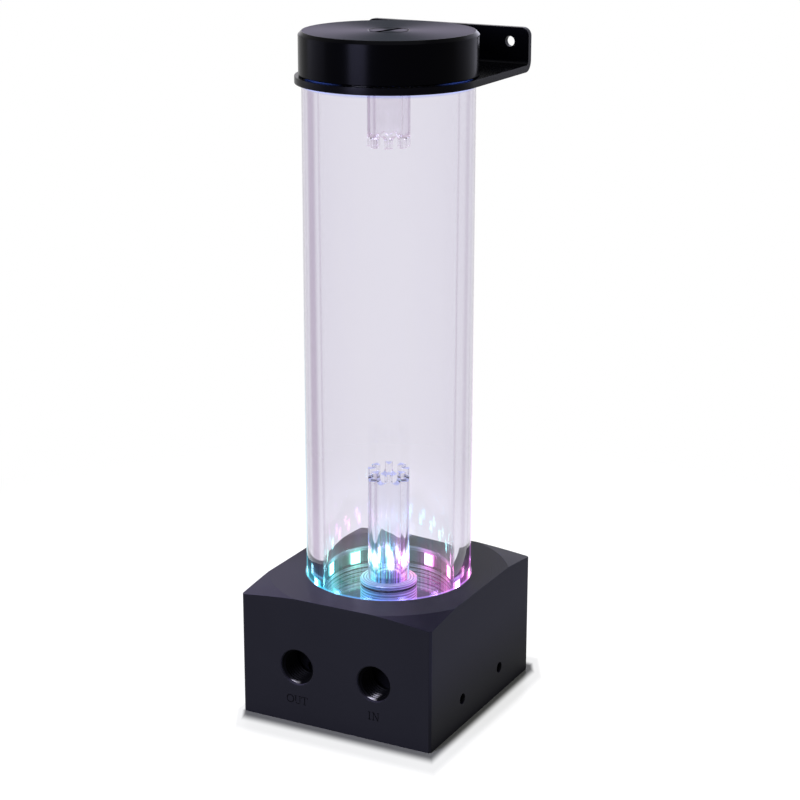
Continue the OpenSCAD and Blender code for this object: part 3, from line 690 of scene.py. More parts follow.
# Painted sheen: two light fans, and near-black with a blue cast between them.
fan = face_skin.sided(FAN_TURN) ** 2
fan_colour = face_skin.mix(face_rings, FAN_DARK, FAN_LIGHT)
face_skin.feed("Base Color", face_skin.mix(fan, (0.004, 0.008, 0.014), fan_colour))
face_skin.feed("Roughness", 0.3 + face_rings * 0.1)
face_skin.bump(face_rings, 0.02, 0.5)
print("cap finishes", cap_skin.material.name, face_skin.material.name)

# %% [markdown]
# ## Bracket and cover finishes
# The bracket is powder coated, which leaves a skin like orange peel: a small noise drives both
# its roughness and its bump. The cover under the block is brushed along one direction before it
# is anodised. A noise whose coordinates are squeezed in one direction gives such strokes.

# %% Bracket and cover finishes
bracket_skin = Finish("bracket coating", Specular_IOR_Level=0.03, Specular_Tint=CAP_TINT)
orange_peel = bracket_skin.noise(bracket_skin.place, 1.6, 3.0)
bracket_cloud = bracket_skin.noise(bracket_skin.place, 0.08)
coat = bracket_skin.mix(bracket_cloud, (0.0006, 0.0006, 0.0010), (0.0012, 0.0012, 0.0018))
bracket_skin.feed("Base Color", coat)
bracket_skin.feed("Roughness", 0.2 + orange_peel * 0.12)
bracket_skin.bump(orange_peel, 0.02, 0.5)

cover_skin = Finish("cover anodising", Specular_IOR_Level=0.3)
stroke_place = cover_skin.joined(cover_skin.x * 0.05, cover_skin.y * 2.5, cover_skin.z)
brushed = cover_skin.noise(stroke_place, 1.0, 4.0)
cover_cloud = cover_skin.noise(cover_skin.place, 0.05)
cover_black = cover_skin.mix(cover_cloud, (0.02, 0.02, 0.024), (0.03, 0.03, 0.034))
cover_skin.feed("Base Color", cover_black)
cover_skin.feed("Roughness", 0.4 + brushed * 0.15)
cover_skin.bump(brushed, 0.015, 0.5)
print("sheet finishes", bracket_skin.material.name, cover_skin.material.name)

# %% [markdown]
# ## Clear plastic
# The tank and its two inner tubes are thick cast acrylic. A glass shader bends light as the real
# wall does. The faint lavender cast comes from the plastic itself, so it is set as absorption
# inside the wall: where a ray runs further through it, the colour deepens. What a white studio
# can't give is the dark lines that a real wall shows some way in from each side, where it bends
# the view of something dark. They are painted on the outer face by Layer Weight's Facing value,
# which is a matter of the surface's slope to the eye, so they stay at the sides in every view.

# %% Clear plastic
ACRYLIC_IOR = 1.49
TANK_BORE = 24.0
TUBE_BORE = 4.5
TANK_WALL_RATIO = 1.25
TUBE_EXTRA = 0.42
SIDEWAYS = Vector((0.88, 0.47))
SEEN_SLOPE = 0.958
LINE_VIOLET = (0.46, 0.36, 0.48)


def acrylic(name, outer, bore, density, tint):
    """Clear cast plastic that soaks up a little light on the way through."""
    made = Finish(name, Roughness=0.0, IOR=ACRYLIC_IOR, Transmission_Weight=1.0)
    haze = made.noise(made.joined(made.x, made.y, made.z * 0.2), 0.12)
    clear = made.mix(haze, (0.985, 0.985, 1.0), WHITE)
    slope = made.node("ShaderNodeLayerWeight", None, {"Blend": 0.5}, "Facing")
    left = made.step(made.x * SIDEWAYS.x + made.y * SIDEWAYS.y, 1, -1)
    bore_at = 1 - SEEN_SLOPE * math.sqrt(1 - (bore / outer) ** 2)
    extra_wall = outer / bore - TANK_WALL_RATIO
    bore_end = bore_at + 0.005 + left * 0.2 * extra_wall
    bore_edge = made.band(slope, bore_at - 0.02, bore_end, 0.015) * (0.5 + left * 0.4 * extra_wall)
    deep_wall = made.band(slope, 0.55 - left * 0.06, 0.64, 0.04) * (0.55 + left * 0.4)
    outer_line = made.band(slope, 0.695, 0.755, 0.02) * 0.35
    rim = made.step(slope, 0.80, 0.88) * (0.9 - 0.5 * extra_wall / TUBE_EXTRA)
    made.outside = made.step(made.radius(), outer - 1.2, outer - 0.8)
    dark = bore_edge.most(deep_wall).most(outer_line).most(rim) * made.outside
    # Painted shade: the dark lines are mixed into the clear colour.
    made.clear = made.mix(dark, clear, LINE_VIOLET)
    made.rim = rim * made.outside
    made.feed("Base Color", made.clear)
    soak = made.node("ShaderNodeVolumeAbsorption", None, {"Color": tint, "Density": density})
    put(made.tree.nodes["Material Output"].inputs["Volume"], soak)
    return made


print("acrylic index of refraction", ACRYLIC_IOR)

# %% [markdown]
# ## Tank finish
# Near the lamps the wall carries painted streaks of their colours, which fade upwards, and a
# painted glow runs up its sides. A thin bright line of painted light shows at the block's top,
# where the wall leaves the socket, and a blue one at the shoulder under the bracket's ring and in
# the gap under the cap, where the light comes out again. The glass just under the ring is tinted
# blue as a painted glow too. Inside the cap the wall is painted nearly black, as shade. Each of
# these is a mask by height, times one by direction.

# %% Tank finish
tank_low, tank_high = box_mm("tank_tube")
SHOULDER_Z = box_mm("bracket")[0].z
CAP_FOOT_Z = box_mm("cap")[0].z
STREAK_FADE, RIM_FADE = (LAMP_Z - 2, LAMP_Z + 16), (BLOCK_TOP, BLOCK_TOP + 120)
EDGE_BLUE, RING_PAINTED_GLOW, CAP_PAINTED_SHADE = (0.10, 0.22, 1.0), (0.52, 0.60, 1.0), (0.01, 0.015, 0.06)

tank_skin = acrylic("tank acrylic", tank_high.x, TANK_BORE, 50.0, (0.55, 0.50, 0.66))
streaks = tank_skin.step(tank_skin.lines(tank_skin.turn(), 0.35), 0.42, 0.62)
foot_fade = 1 - tank_skin.step(tank_skin.z, *STREAK_FADE)
rim_fade = 1 - tank_skin.step(tank_skin.z, *RIM_FADE)
outer_wall = tank_skin.step(tank_skin.radius(), 27.0, 27.5)
sideways = (tank_skin.x * SIDEWAYS.x + tank_skin.y * SIDEWAYS.y).size()
at_sides = tank_skin.step(sideways, 15, 27)
# Painted light: streaks of the lamps' colours near the foot, stronger at the sides.
foot_light = foot_fade ** 2 * (0.02 + streaks * 0.1) * (0.3 + near_lamps(tank_skin) * 0.7)
foot_light = foot_light * (1 + at_sides * 3)
in_front = tank_skin.step(tank_skin.sided(FAN_TURN + 90), 0.0, 0.5)
foot_line = tank_skin.band(tank_skin.z, BLOCK_TOP - 0.3, BLOCK_TOP + 0.4, 0.2)
foot_line = foot_line * outer_wall * in_front
tank_light = foot_light + tank_skin.rim * rim_fade * 0.3 + foot_line * 0.6
tank_glow = tank_skin.scaled(lamp_colour(tank_skin), tank_light)
shoulder_line = tank_skin.band(tank_skin.z, SHOULDER_Z - 0.8, SHOULDER_Z + 0.5, 0.3) * outer_wall
gap_line = tank_skin.band(tank_skin.z, CAP_FOOT_Z - 0.8, CAP_FOOT_Z + 0.3, 0.2) * at_sides
line_light = shoulder_line * (0.12 + at_sides * 0.4) + gap_line * 2.6
tank_skin.shine(tank_skin.added(tank_glow, tank_skin.scaled(EDGE_BLUE, line_light)))
# Painted glow under the ring, and painted shade inside the cap.
under_ring = tank_skin.band(tank_skin.z, SHOULDER_Z - 1.1, SHOULDER_Z + 0.5, 0.5) * outer_wall
ringed = tank_skin.mix(under_ring, tank_skin.clear, RING_PAINTED_GLOW)
in_cap = tank_skin.step(tank_skin.z, SHOULDER_Z + 0.5, SHOULDER_Z + 0.8)
tank_skin.feed("Base Color", tank_skin.mix(in_cap, ringed, CAP_PAINTED_SHADE))
print("tank radius in mm", tank_high.x)

# %% [markdown]
# ## Riser, drop tube and milled faces
# The riser takes light in at its foot and carries it up, so painted streaks of colour run up its
# wall, and painted bright lobes, in place of the lamps seen through it, stand in a band above the
# collar. Its foot, inside the fitting, is painted dark blue as shade. The milled faces of both
# crowns are frosted and painted with light as if lit from within the wall, bluish on the riser,
# which is near the lamps, and rosy on the drop tube.

# %% Riser, drop tube and milled faces
riser_low, riser_high = box_mm("riser_tube")
drop_low, drop_high = box_mm("drop_tube")
LOBE_TURN, LOBE_PITCH, LOBE_LOW, LOBE_HIGH = -57, 45, 51.4, 56.2
FITTING_MOUTH = (46.6, 47.4)
BORE_PAINTED_SHADE = (0.03, 0.06, 0.20)
ROSY, BLUISH = (0.64, 0.55, 0.64), (0.38, 0.41, 0.66)

riser_skin = acrylic("riser acrylic", riser_high.x, TUBE_BORE, 35.0, (0.56, 0.56, 0.74))
# Painted light: streaks up the wall, and bright lobes in place of the lamps seen through it.
riser_streaks = riser_skin.step(riser_skin.lines(riser_skin.turn(), 0.12), 0.45, 0.65)
riser_fade = 1 - riser_skin.step(riser_skin.z, LAMP_Z + 4, LAMP_Z + 28)
lobe_wave = ((riser_skin.turn() - LOBE_TURN) * (math.pi / LOBE_PITCH)).sine() ** 2
lobe_value = 1 - lobe_wave + riser_skin.noise(riser_skin.place, 0.5) * 0.3
lobes = riser_skin.step(lobe_value, 0.6, 1.0)
lobe_band = riser_skin.band(riser_skin.z, LOBE_LOW, LOBE_HIGH, 1.6) * riser_skin.outside
lobe_light = riser_skin.scaled(WHITE, lobes * lobe_band * 1.4)
riser_light = riser_fade * riser_streaks * 0.55 * (1 + lobe_band)
riser_glow = riser_skin.scaled(lamp_colour(riser_skin), riser_light)
riser_skin.shine(riser_skin.added(riser_glow, lobe_light))
# Painted shade: the bore inside the fitting is dark blue.
on_bore = 1 - riser_skin.step(riser_skin.radius(), 5, 5.5)
dark_bore = on_bore * (1 - riser_skin.step(riser_skin.z, *FITTING_MOUTH))
riser_skin.feed("Base Color", riser_skin.mix(dark_bore, riser_skin.clear, BORE_PAINTED_SHADE))

drop_skin = acrylic("drop tube acrylic", drop_high.x, TUBE_BORE, 45.0, (0.62, 0.50, 0.66))
milled = Finish("milled acrylic")
tool_marks = milled.lines(milled.z, 4.0)
on_riser = 1 - milled.step(milled.z, riser_high.z, drop_low.z)
# Painted light: the milled faces glow as if lit from within the wall.
cut_light = milled.mix(on_riser, ROSY, BLUISH)
milled.feed("Base Color", milled.scaled(cut_light, 0.3))
milled.feed("Roughness", 0.35 + tool_marks * 0.15)
milled.shine(milled.scaled(cut_light, 0.8 + tool_marks * 0.4))
print("riser radius in mm", riser_high.x, "drop tube radius in mm", drop_high.x)

# %% [markdown]
# ## Lamp and fitting finishes
# Each lamp is a white case with a bright window. The case glows in the lamp's own colour, and a
# square in its middle much more strongly, which gives the pale core and coloured border that a
# bright lamp shows. The riser's fitting and collar are satin metal with turned rings. The lamps'
# colours are painted on them as light, most of all on the two sides, where a painted reflection
# stands in for the ring of lamps that a mirror there would face.

# %% Lamp and fitting finishes
CORE_HALF = 2.1
METAL_PITCH = 1.05

case_skin = Finish("lamp case", Base_Color=(0.8, 0.8, 0.8))
case_speckle = case_skin.noise(case_skin.place, 2.0)
case_skin.feed("Roughness", 0.4 + case_speckle * 0.2)
core_width = case_skin.step(near_lamps(case_skin, 1), 0.90, 0.94)
core_height = case_skin.band(case_skin.z, LAMP_Z - CORE_HALF, LAMP_Z + CORE_HALF, 0.25)
glow(case_skin, 1.3 + core_width * core_height * (9.7 + case_speckle * 3.0))

window_skin = Finish("lamp window", Base_Color=(0.9, 0.9, 0.9))
window_speckle = window_skin.noise(window_skin.place, 3.0)
window_skin.feed("Roughness", 0.15 + window_speckle * 0.1)
glow(window_skin, 16.0 + window_speckle * 4.0, 0.3)

metal_skin = Finish("satin fitting", Metallic=1.0)
metal_flat = metal_skin.step(metal_skin.facing(2), 0.6, 0.9)
metal_line = metal_skin.z * (1 - metal_flat) + metal_skin.radius() * metal_flat
metal_rings = metal_skin.ridges(metal_line, METAL_PITCH)
metal_grey = metal_skin.mix(metal_rings, (0.08, 0.085, 0.10), (0.26, 0.27, 0.30))
metal_skin.feed("Base Color", metal_grey)
metal_skin.feed("Roughness", 0.26 + metal_rings * 0.12)
metal_skin.bump(metal_rings, 0.01, 0.5)
# Painted lamplight along the rings, stronger on the two sides as a painted reflection.
metal_side = metal_skin.sided(FAN_TURN) ** 2
glow(metal_skin, (0.22 + metal_rings * 0.34) * (1 + metal_side * 0.9), 0.12)
print("lamp finishes ready")

# %% [markdown]
# ## Inner finishes
# The seals, screws, board, windings and rotor are hidden in the block, yet anyone who takes the
# part apart sees them, so each has the finish of its own material. Two functions make most of
# them: a fine speckle for what is moulded, sintered or ground, and even lines for laminations
# and turns of wire. The board gets copper tracks, and the lamp strip gets pads by its lamps. The
# strip also glows with painted lamplight, strongest beside each lamp.

# %% Inner finishes
def speckled(name, dark, light, scale, roughness, **surface):
    """A plain moulded, sintered or rubber surface with a fine speckle."""
    made = Finish(name, **surface)
    fine = made.noise(made.place, scale, 4.0)
    made.feed("Base Color", made.mix(fine, dark, light))
    made.feed("Roughness", roughness + fine * 0.12)
    made.bump(fine, 0.01, 0.5)
    return made


def striped(name, dark, light, pitch, roughness, **surface):
    """A surface with even level lines: sheets in a stack or turns of wire."""
    made = Finish(name, **surface)
    wave = made.ridges(made.z, pitch)
    made.feed("Base Color", made.mix(wave, dark, light))
    made.feed("Roughness", roughness + wave * 0.1)
    made.bump(wave, 0.05, 0.8)
    return made


rubber = speckled("seal rubber", (0.012, 0.012, 0.013), (0.022, 0.022, 0.023), 1.5, 0.5)
steel = speckled("screw steel", (0.42, 0.42, 0.43), (0.62, 0.62, 0.62), 1.2, 0.25, Metallic=1.0)
plastic = speckled("filled plastic", (0.035, 0.035, 0.038), (0.06, 0.06, 0.063), 1.2, 0.42)
ceramic = speckled("ground ceramic", (0.74, 0.73, 0.69), (0.83, 0.82, 0.78), 0.8, 0.14)
carbon = speckled("bearing carbon", (0.04, 0.04, 0.042), (0.09, 0.09, 0.092), 2.5, 0.4)
magnet = speckled(
    "bonded magnet", (0.09, 0.09, 0.095), (0.16, 0.16, 0.165), 1.5, 0.38, Metallic=0.6
)
ivory = speckled("impeller plastic", (0.68, 0.66, 0.58), (0.76, 0.74, 0.66), 0.6, 0.34)
laminations = striped(
    "lamination stack", (0.14, 0.145, 0.15), (0.34, 0.35, 0.36), 0.5, 0.3, Metallic=1.0
)
winding = striped(
    "enamelled winding", (0.20, 0.06, 0.015), (0.58, 0.22, 0.06), 0.45, 0.22, Metallic=0.7
)

board = Finish("circuit board")
tracks = (board.radius() * 1.9).sine().most((board.turn() * 0.28).sine())
copper_line = board.step(tracks, 0.86, 0.94)
board.feed("Base Color", board.mix(copper_line, (0.012, 0.10, 0.035), (0.03, 0.19, 0.07)))
board.feed("Roughness", 0.3 + board.noise(board.place, 1.0) * 0.15)
board.bump(copper_line, 0.03, 0.6)

strip = Finish("lamp strip")
pads = strip.step(near_lamps(strip, 8), 0.6, 0.8)
strip.feed("Base Color", strip.mix(pads, (0.02, 0.02, 0.024), (0.40, 0.26, 0.08)))
strip.feed("Roughness", 0.5 - pads * 0.2)
# Painted light: the strip glows in the lamps' colours, most of all beside each lamp.
glow(strip, 0.10 + near_lamps(strip, 10) * 1.4)

WORN = {
    rubber: (
        "cover_oring", "cable_grommet", "can_oring", "fitting_oring", "riser_oring",
        "tank_oring", "cap_oring", "drop_tube_oring", "plug_oring",
    ),
    steel: ("cover_screws", "can_screws"),
    plastic: ("separator_can", "volute_insert"),
    ceramic: ("pump_shaft", "thrust_washer"),
    carbon: ("rotor_bush",),
    magnet: ("rotor_magnet",),
    ivory: ("impeller",),
    laminations: ("stator_core",),
    winding: ("stator_coils",),
    board: ("motor_board",),
    strip: ("led_strip",),
    case_skin: ("leds",),
    cover_skin: ("base_cover",),
}
for finish, names in WORN.items():
    wear(finish, *names)
print("finishes", len(WORN), "worn by CAD nodes", sum(len(names) for names in WORN.values()))

# %% [markdown]
# ## Lettering
# The port names are engraved in plain serif capitals. A font could be used, but its thin serifs
# come out with hundreds of points. Here each stroke is a box, and the O is a small square spun
# round and squeezed to an oval. The strokes of a letter are measured from its own middle.

# %% Lettering
LETTER_DEPTH = 0.3
LETTER_HEIGHT = 3.1
STROKE = 0.44
STEM = STROKE * 0.9
HAIR = 0.24
END = LETTER_HEIGHT / 2 - HAIR / 2
O_WIDTH, N_REACH = 2.9, 1.9
OUT_X, OUT_Z, IN_X, IN_Z = -15.3, 9.0, 15.7, 9.3

U_STROKES = [
    (-0.85, 0.45, STEM, LETTER_HEIGHT - 0.9, 0), (0.85, 0.45, HAIR, LETTER_HEIGHT - 0.9, 0),
    (0, -END, 1.2, HAIR, 0), (-0.62, 0.22 - END, 0.6, HAIR, 45),
    (0.6, 0.22 - END, 0.6, HAIR, -45), (-0.85, END, 1.2, HAIR, 0), (0.85, END, 1.0, HAIR, 0),
]
T_STROKES = [
    (0, 0, STEM, LETTER_HEIGHT, 0), (0, END, 2.5, HAIR, 0), (0, -END, 1.1, HAIR, 0),
    (-1.15, END - 0.3, HAIR, 0.8, 0), (1.15, END - 0.3, HAIR, 0.8, 0),
]
I_STROKES = [(0, 0, STEM, LETTER_HEIGHT, 0), (0, END, 1.1, HAIR, 0), (0, -END, 1.1, HAIR, 0)]
N_LEAN = -math.degrees(math.atan2(N_REACH, LETTER_HEIGHT))
N_STROKES = [
    (-0.95, 0, HAIR, LETTER_HEIGHT, 0), (0.95, 0, HAIR, LETTER_HEIGHT, 0),
    (0, 0, STROKE, math.hypot(LETTER_HEIGHT, N_REACH), N_LEAN), (-0.95, -END, 0.9, HAIR, 0),
    (0.95, END, 0.9, HAIR, 0), (-1.1, END, 0.8, HAIR, 0),
]
LETTERS = [
    (OUT_X + 0.1, OUT_Z, U_STROKES), (OUT_X + 2.9, OUT_Z, T_STROKES),
    (IN_X - 1.75, IN_Z, I_STROKES), (IN_X + 0.75, IN_Z, N_STROKES),
]


def stroke(form, x, z, width, height, lean):
    """One straight stroke of a letter, sunk into the front face."""
    made = bmesh.ops.create_cube(form, size=1)["verts"]
    about_y = Matrix.Rotation(math.radians(lean), 3, "Y")
    bmesh.ops.scale(form, verts=made, vec=Vector((width, 2 * LETTER_DEPTH, height)) * MM)
    bmesh.ops.rotate(form, verts=made, cent=CENTRE, matrix=about_y)
    bmesh.ops.translate(form, verts=made, vec=Vector((x, block_low.y, z)) * MM)


def letter_o(x, z):
    """A form with the letter O: a small square spun round and squeezed to an oval."""
    form = bmesh.new()
    half, deep = STROKE / 2, LETTER_DEPTH
    square = ((-half, -deep), (half, -deep), (half, deep), (-half, deep))
    corners = [form.verts.new(((END + r) * MM, y * MM, 0)) for r, y in square]
    edges = [form.edges.new(pair) for pair in zip(corners, corners[1:] + corners[:1])]
    bmesh.ops.spin(
        form, geom=corners + edges, cent=CENTRE, axis=(0, 1, 0), angle=-2 * math.pi, steps=32,
        use_merge=True,
    )
    bmesh.ops.scale(form, verts=form.verts, vec=(O_WIDTH / LETTER_HEIGHT, 1, 1))
    bmesh.ops.translate(form, verts=form.verts, vec=Vector((x, block_low.y, z)) * MM)
    return form


letters = letter_o(OUT_X - 2.95, OUT_Z)
for middle_x, middle_z, strokes in LETTERS:
    for x, z, width, height, lean in strokes:
        stroke(letters, middle_x + x, middle_z + z, width, height, lean)
bmesh.ops.recalc_face_normals(letters, faces=letters.faces)
print("lettering points", len(letters.verts))

# %% [markdown]
# ## Cutting
# An engraved letter or a milled notch is one shape taken away from another. Bmesh has no
# Boolean operator, but the Boolean modifier does the job: both forms become objects for a
# moment, the modifier's result is read back, and the two objects are thrown away.

# %% Cutting
def cut(form, cutter):
    """The form with the cutter's shape taken away."""
    block, tool = as_object("being_cut", form), as_object("cutter", cutter)
    boolean = block.modifiers.new("cut", "BOOLEAN")
    boolean.operation, boolean.solver, boolean.object = "DIFFERENCE", "EXACT", tool
    boolean.use_self = True
    bpy.context.view_layer.update()
    ready = block.evaluated_get(bpy.context.evaluated_depsgraph_get())
    result = bmesh.new()
    result.from_mesh(ready.to_mesh())
    ready.to_mesh_clear()
    for spent in (block, tool):
        mesh = spent.data
        bpy.data.objects.remove(spent)
        bpy.data.meshes.remove(mesh)
    bmesh.ops.remove_doubles(result, verts=result.verts, dist=WELD)
    return result


print("cutting ready")

# %% [markdown]
# ## Base block
# The block is milled from solid, with a turned slope on its top. Its shape is right in the solid
# model, so the mesh is copied and merged rather than drawn again. The edges that a hand can
# touch are eased by about a tenth of a millimetre, and the port names are taken away with a
# Boolean, as an engraver's tool would do it. The floors of the letters get the matt finish.

# %% Block shell
EDGE_EASE = 0.12
EDGE_ZONE = 1.3
FOOT_ZONE, TOP_ZONE = 0.05, 0.05
LETTERS_BELOW = 12
TOP_SLOPE = 10


def on_outside(edge):
    """True for the edges that a hand can touch: the outer ones and the socket's rim."""
    x, y, z = (edge.verts[0].co + edge.verts[1].co) / 2 / MM
    rim = z > BLOCK_TOP - TOP_ZONE
    outer = abs(x) > block_high.x - EDGE_ZONE or abs(y) > block_high.y - EDGE_ZONE
    return rim or outer and z > FOOT_ZONE


block_form = cut(ease(copied("base_block"), EDGE_EASE, where=on_outside), letters)
for face in block_form.faces:
    middle = face.calc_center_median() / MM
    if 0.02 < middle.y - block_low.y < LETTER_DEPTH + 0.05 and middle.z < LETTERS_BELOW:
        face.material_index = 1
piece(
    "block_shell", block_form, [block_skin, letter_skin], "housing", "block_black", "base_block",
    crisp=math.radians(TOP_SLOPE - 0.5),
)

# %% [markdown]
# ## Threads
# A thread is a ridge that climbs round its hole. The Screw modifier could make it, or a spin
# that also moves a little along the axis at each step, as here. The solid model leaves the holes
# smooth at the thread's outer size, so the ridge stands on that wall and points inwards.

# %% Threads
PORT_ROOT, PORT_CREST, PORT_PITCH = 6.58, 5.75, 1.337
SIDE_Y, SIDE_Z, SIDE_ROOT, SIDE_CREST, SIDE_PITCH = 15.5, 10.4, 2.0, 1.65, 0.7
SIDE_LENGTH, SIDE_STEPS = 5.4, 20
IN_WALL = 0.03
ROOT_HALF, CREST_HALF = 0.44, 0.07


def thread(name, start, along, root, crest, pitch, length, steps=40):
    """A ridge on the wall of a hole that starts at a point and runs along a direction."""
    form = bmesh.new()
    along = Vector(along)
    side = along.orthogonal().normalized()
    foot = root + IN_WALL
    outline = [(foot, -ROOT_HALF), (crest, -CREST_HALF), (crest, CREST_HALF), (foot, ROOT_HALF)]
    corners = [
        form.verts.new(Vector(start) * MM + (side * r + along * (a + 0.5) * pitch) * MM)
        for r, a in outline
    ]
    edges = [form.edges.new(pair) for pair in zip(corners, corners[1:] + corners[:1])]
    count = round((length / pitch - 1) * steps)
    bmesh.ops.spin(
        form, geom=corners + edges, cent=Vector(start) * MM, axis=along,
        dvec=along * (pitch / steps * MM), angle=2 * math.pi * count / steps, steps=count,
    )
    bmesh.ops.holes_fill(form, edges=[e for e in form.edges if e.is_boundary], sides=4)
    tidy(form)
    piece(name, form, thread_skin, "housing", "block_black")


for name, x in (("port_thread_out", -PORT_X), ("port_thread_in", PORT_X)):
    start = (x, block_low.y + 0.5, PORT_Z)
    thread(name, start, (0, 1, 0), PORT_ROOT, PORT_CREST, PORT_PITCH, PORT_DEPTH - 0.8)
for name, y in (("side_thread_front", -SIDE_Y), ("side_thread_back", SIDE_Y)):
    start = (block_high.x - 0.2, y, SIDE_Z)
    thread(name, start, (-1, 0, 0), SIDE_ROOT, SIDE_CREST, SIDE_PITCH, SIDE_LENGTH, SIDE_STEPS)

# %% [markdown]
# ## Tank
# The tank is a length of thick tube with a stepped neck and a threaded foot, whose thread is
# drawn as level rings. A copy of the solid would do in metal. In glass a coarse mesh shows at
# once as flat facets, so the tube is spun again from its outline with many more steps.

# %% Tank tube
NECK_R = 28.5
RING_PITCH, RING_DEPTH, RING_COUNT = 1.5, 0.8, 4
RING_START = tank_low.z + 1.3
TANK_R = tank_high.x

tank_outline = [(TANK_BORE, tank_low.z), (TANK_R, tank_low.z)]
for k in range(RING_COUNT):
    z = RING_START + k * RING_PITCH
    tank_outline += [
        (TANK_R, z + 0.08 * RING_PITCH), (TANK_R - RING_DEPTH, z + 0.4 * RING_PITCH),
        (TANK_R - RING_DEPTH, z + 0.6 * RING_PITCH), (TANK_R, z + 0.92 * RING_PITCH),
    ]
tank_outline += [
    (TANK_R, SHOULDER_Z), (NECK_R, SHOULDER_Z), (NECK_R, tank_high.z), (TANK_BORE, tank_high.z),
]
piece("tank_glass", turned(tank_outline, 192), tank_skin, "housing", "clear_acrylic", "tank_tube")

# %% [markdown]
# ## Bars and rods
# The cutter for a notch is a bar with a round end. It could be one outline that is extruded,
# but a box and a cylinder laid over each other are simpler to place. Both helpers add their
# shape to a form that is already there. The rod makes the lamp windows too.

# %% Bars and rods
def bar(form, at, size, turn=0):
    """Adds a box, in millimetres, centred at a point and turned about the upright axis."""
    made = bmesh.ops.create_cube(form, size=1)["verts"]
    bmesh.ops.scale(form, verts=made, vec=Vector(size) * MM)
    about_z = Matrix.Rotation(math.radians(turn), 3, "Z")
    bmesh.ops.rotate(form, verts=made, cent=CENTRE, matrix=about_z)
    bmesh.ops.translate(form, verts=made, vec=Vector(at) * MM)


def rod(form, at, radius, length, along, segments=48):
    """Adds a round bar, in millimetres, centred at a point and lying along a direction."""
    made = bmesh.ops.create_cone(
        form, cap_ends=True, segments=segments, radius1=radius * MM, radius2=radius * MM,
        depth=length * MM,
    )["verts"]
    turn = Vector(along).to_track_quat("Z", "Y").to_matrix()
    bmesh.ops.rotate(form, verts=made, cent=CENTRE, matrix=turn)
    bmesh.ops.translate(form, verts=made, vec=Vector(at) * MM)


print("bars and rods ready")

# %% [markdown]
# ## Riser and drop tube
# Both inner tubes end in a ring of notches that lets the coolant spread. The notches could be
# drawn face by face. Here each tube is spun from its outline, then bars with round ends are
# taken away with a Boolean, as a milling cutter does. The cut faces get the milled finish.

# %% Inner tubes
NOTCHES, NOTCH_W, NOTCH_DEPTH, NOTCH_TURN = 8, 3.0, 4.2, 5


def castellated(low, high, open_up):
    """A tube with a ring of round-floored notches at its open end."""
    wall = [(TUBE_BORE, low.z), (high.x, low.z), (high.x, high.z), (TUBE_BORE, high.z)]
    form = turned(wall, 144)
    cutter = bmesh.new()
    way = 1 if open_up else -1
    end = high.z if open_up else low.z
    floor_axis = end - way * (NOTCH_DEPTH - NOTCH_W / 2)
    length = 2 * high.x + 2
    for k in range(NOTCHES // 2):
        turn = NOTCH_TURN + k * 360 / NOTCHES
        along = (math.cos(math.radians(turn)), math.sin(math.radians(turn)), 0)
        rod(cutter, (0, 0, floor_axis), NOTCH_W / 2, length, along)
        bar_z = floor_axis + way * NOTCH_DEPTH / 2
        bar(cutter, (0, 0, bar_z), (length, NOTCH_W, NOTCH_DEPTH), turn)
    form = cut(form, cutter)
    for face in form.faces:
        middle = face.calc_center_median() / MM
        in_notch = way * (middle.z - end) > -NOTCH_DEPTH - 0.1
        face.material_index = int(in_notch and way * face.normal.z > 0.5)
    return form


riser = castellated(riser_low, riser_high, True)
piece("riser_glass", riser, [riser_skin, milled], "housing", "clear_acrylic", "riser_tube")
drop = castellated(drop_low, drop_high, False)
piece("drop_glass", drop, [drop_skin, milled], "cap", "clear_acrylic", "drop_tube")

# %% [markdown]
# ## Collar and fitting
# The riser stands in a turned fitting, and a flanged collar with a seal under it holds the tube.
# They could be spun like the tank, but metal hides coarse facets better than glass does. So
# both are copies of the solids with their edges eased.

# %% Collar and fitting
for name, node, ease_width in (
    ("collar_turned", "riser_collar", 0.15), ("fitting_turned", "riser_fitting", 0.2),
):
    piece(name, ease(copied(node), ease_width), metal_skin, "housing", "fitting_grey", node)

# %% [markdown]
# ## Lamp windows
# Each lamp has a round window, slightly sunk in its case. It could be cut into the case and
# given a glass lens. One short disc per lamp, set in the case's recess, is enough, because its
# brightness hides what lies behind it.

# %% Lamp windows
WINDOW_R, WINDOW_T, RECESS = 1.7, 0.12, 0.2
LAMP_FACE_R = 31.0
window_form = bmesh.new()
for k in range(LAMP_COUNT):
    turn = math.radians(LAMP_TURN + k * 360 / LAMP_COUNT)
    along = Vector((math.cos(turn), math.sin(turn), 0))
    at = along * (LAMP_FACE_R + RECESS - WINDOW_T / 2)
    rod(window_form, (at.x, at.y, LAMP_Z), WINDOW_R, WINDOW_T, along, 24)
tidy(window_form)
piece("lamp_windows", window_form, window_skin, "housing", "lamp_lens")

# %% [markdown]
# ## Cap and fill plug
# The cap is turned from one bar, hollow below, with a threaded hole for the fill plug in its
# middle. It is the largest mirror on the part, so its outline is spun with fine steps, and the
# edges are eased so that a thin highlight runs round the top. The plug is turned too, and its
# coin slot is milled across, so it starts from a copy of the solid.

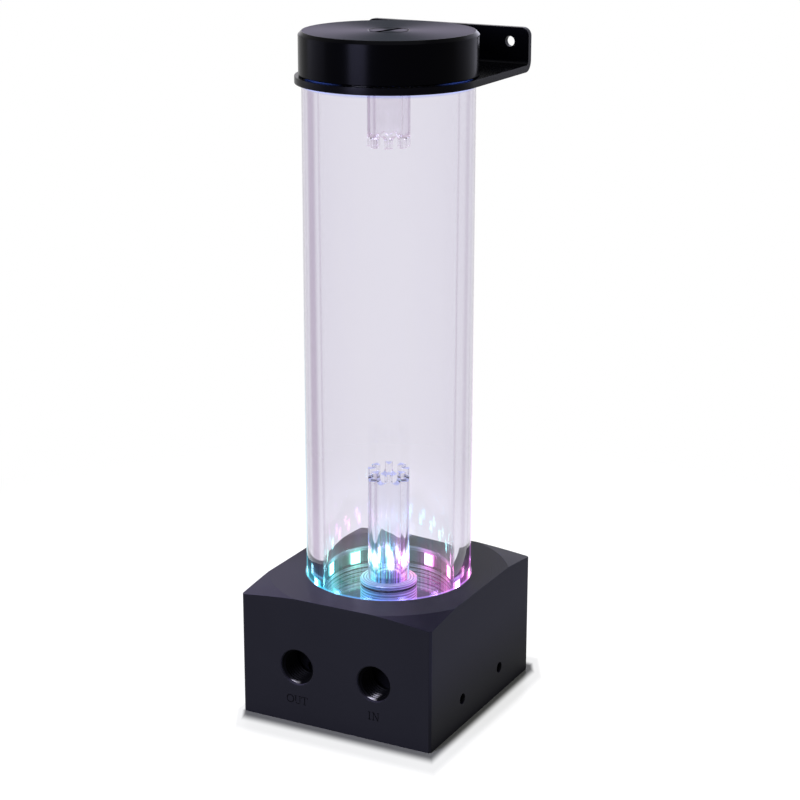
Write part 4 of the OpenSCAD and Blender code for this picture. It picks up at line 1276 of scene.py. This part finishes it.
# %% Cap and plug
cap_low, cap_high = box_mm("cap")
CAP_BORE, CEILING_Z, BOSS_R, BOSS_Z = 28.6, 237.3, 10.0, 229.5
PLUG_HOLE_R, PLUG_FLOOR_Z, PLUG_CHAMFER = 6.58, 238.05, 0.5
CAP_CHAMFER, FOOT_CHAMFER = 1.2, 0.2
CAP_EASE, PLUG_EASE = 0.12, 0.1
GRIP_R, DROP_TOP_Z = 7.55, 236.05
R, TOP = cap_high.x, cap_high.z
cap_outline = [
    (CAP_BORE, cap_low.z), (R - FOOT_CHAMFER, cap_low.z), (R, cap_low.z + FOOT_CHAMFER),
    (R, TOP - CAP_CHAMFER), (R - CAP_CHAMFER, TOP), (PLUG_HOLE_R + PLUG_CHAMFER, TOP),
    (PLUG_HOLE_R, TOP - PLUG_CHAMFER), (PLUG_HOLE_R, PLUG_FLOOR_Z), (TUBE_BORE, PLUG_FLOOR_Z),
    (TUBE_BORE, DROP_TOP_Z), (GRIP_R, DROP_TOP_Z), (GRIP_R, BOSS_Z), (BOSS_R, BOSS_Z),
    (BOSS_R, CEILING_Z), (CAP_BORE, CEILING_Z),
]


def faced(form):
    """Gives the top face of a turned form its second finish."""
    for face in form.faces:
        at_top = face.calc_center_median().z > (TOP - 0.05) * MM
        face.material_index = int(face.normal.z > 0.99 and at_top)
    return form


cap_form = faced(ease(turned(cap_outline), CAP_EASE))
piece("cap_turned", cap_form, [cap_skin, face_skin], "cap", "cap_black", "cap")
plug_form = faced(ease(copied("fill_plug"), PLUG_EASE))
piece("plug_turned", plug_form, [cap_skin, face_skin], "plug", "cap_black", "fill_plug")

# %% [markdown]
# ## Bracket
# The bracket is cut from sheet, bent once and powder coated. A sheet could be made in Blender
# from a flat outline and a Solidify modifier. The solid already has its thickness and its bend,
# so a copy is eased at its cut edges, because a coating rounds every corner that it covers.

# %% Bracket
COAT_EASE = 0.2
bracket_form = ease(copied("bracket"), COAT_EASE)
piece("bracket_coated", bracket_form, bracket_skin, "bracket", "bracket_black", "bracket")
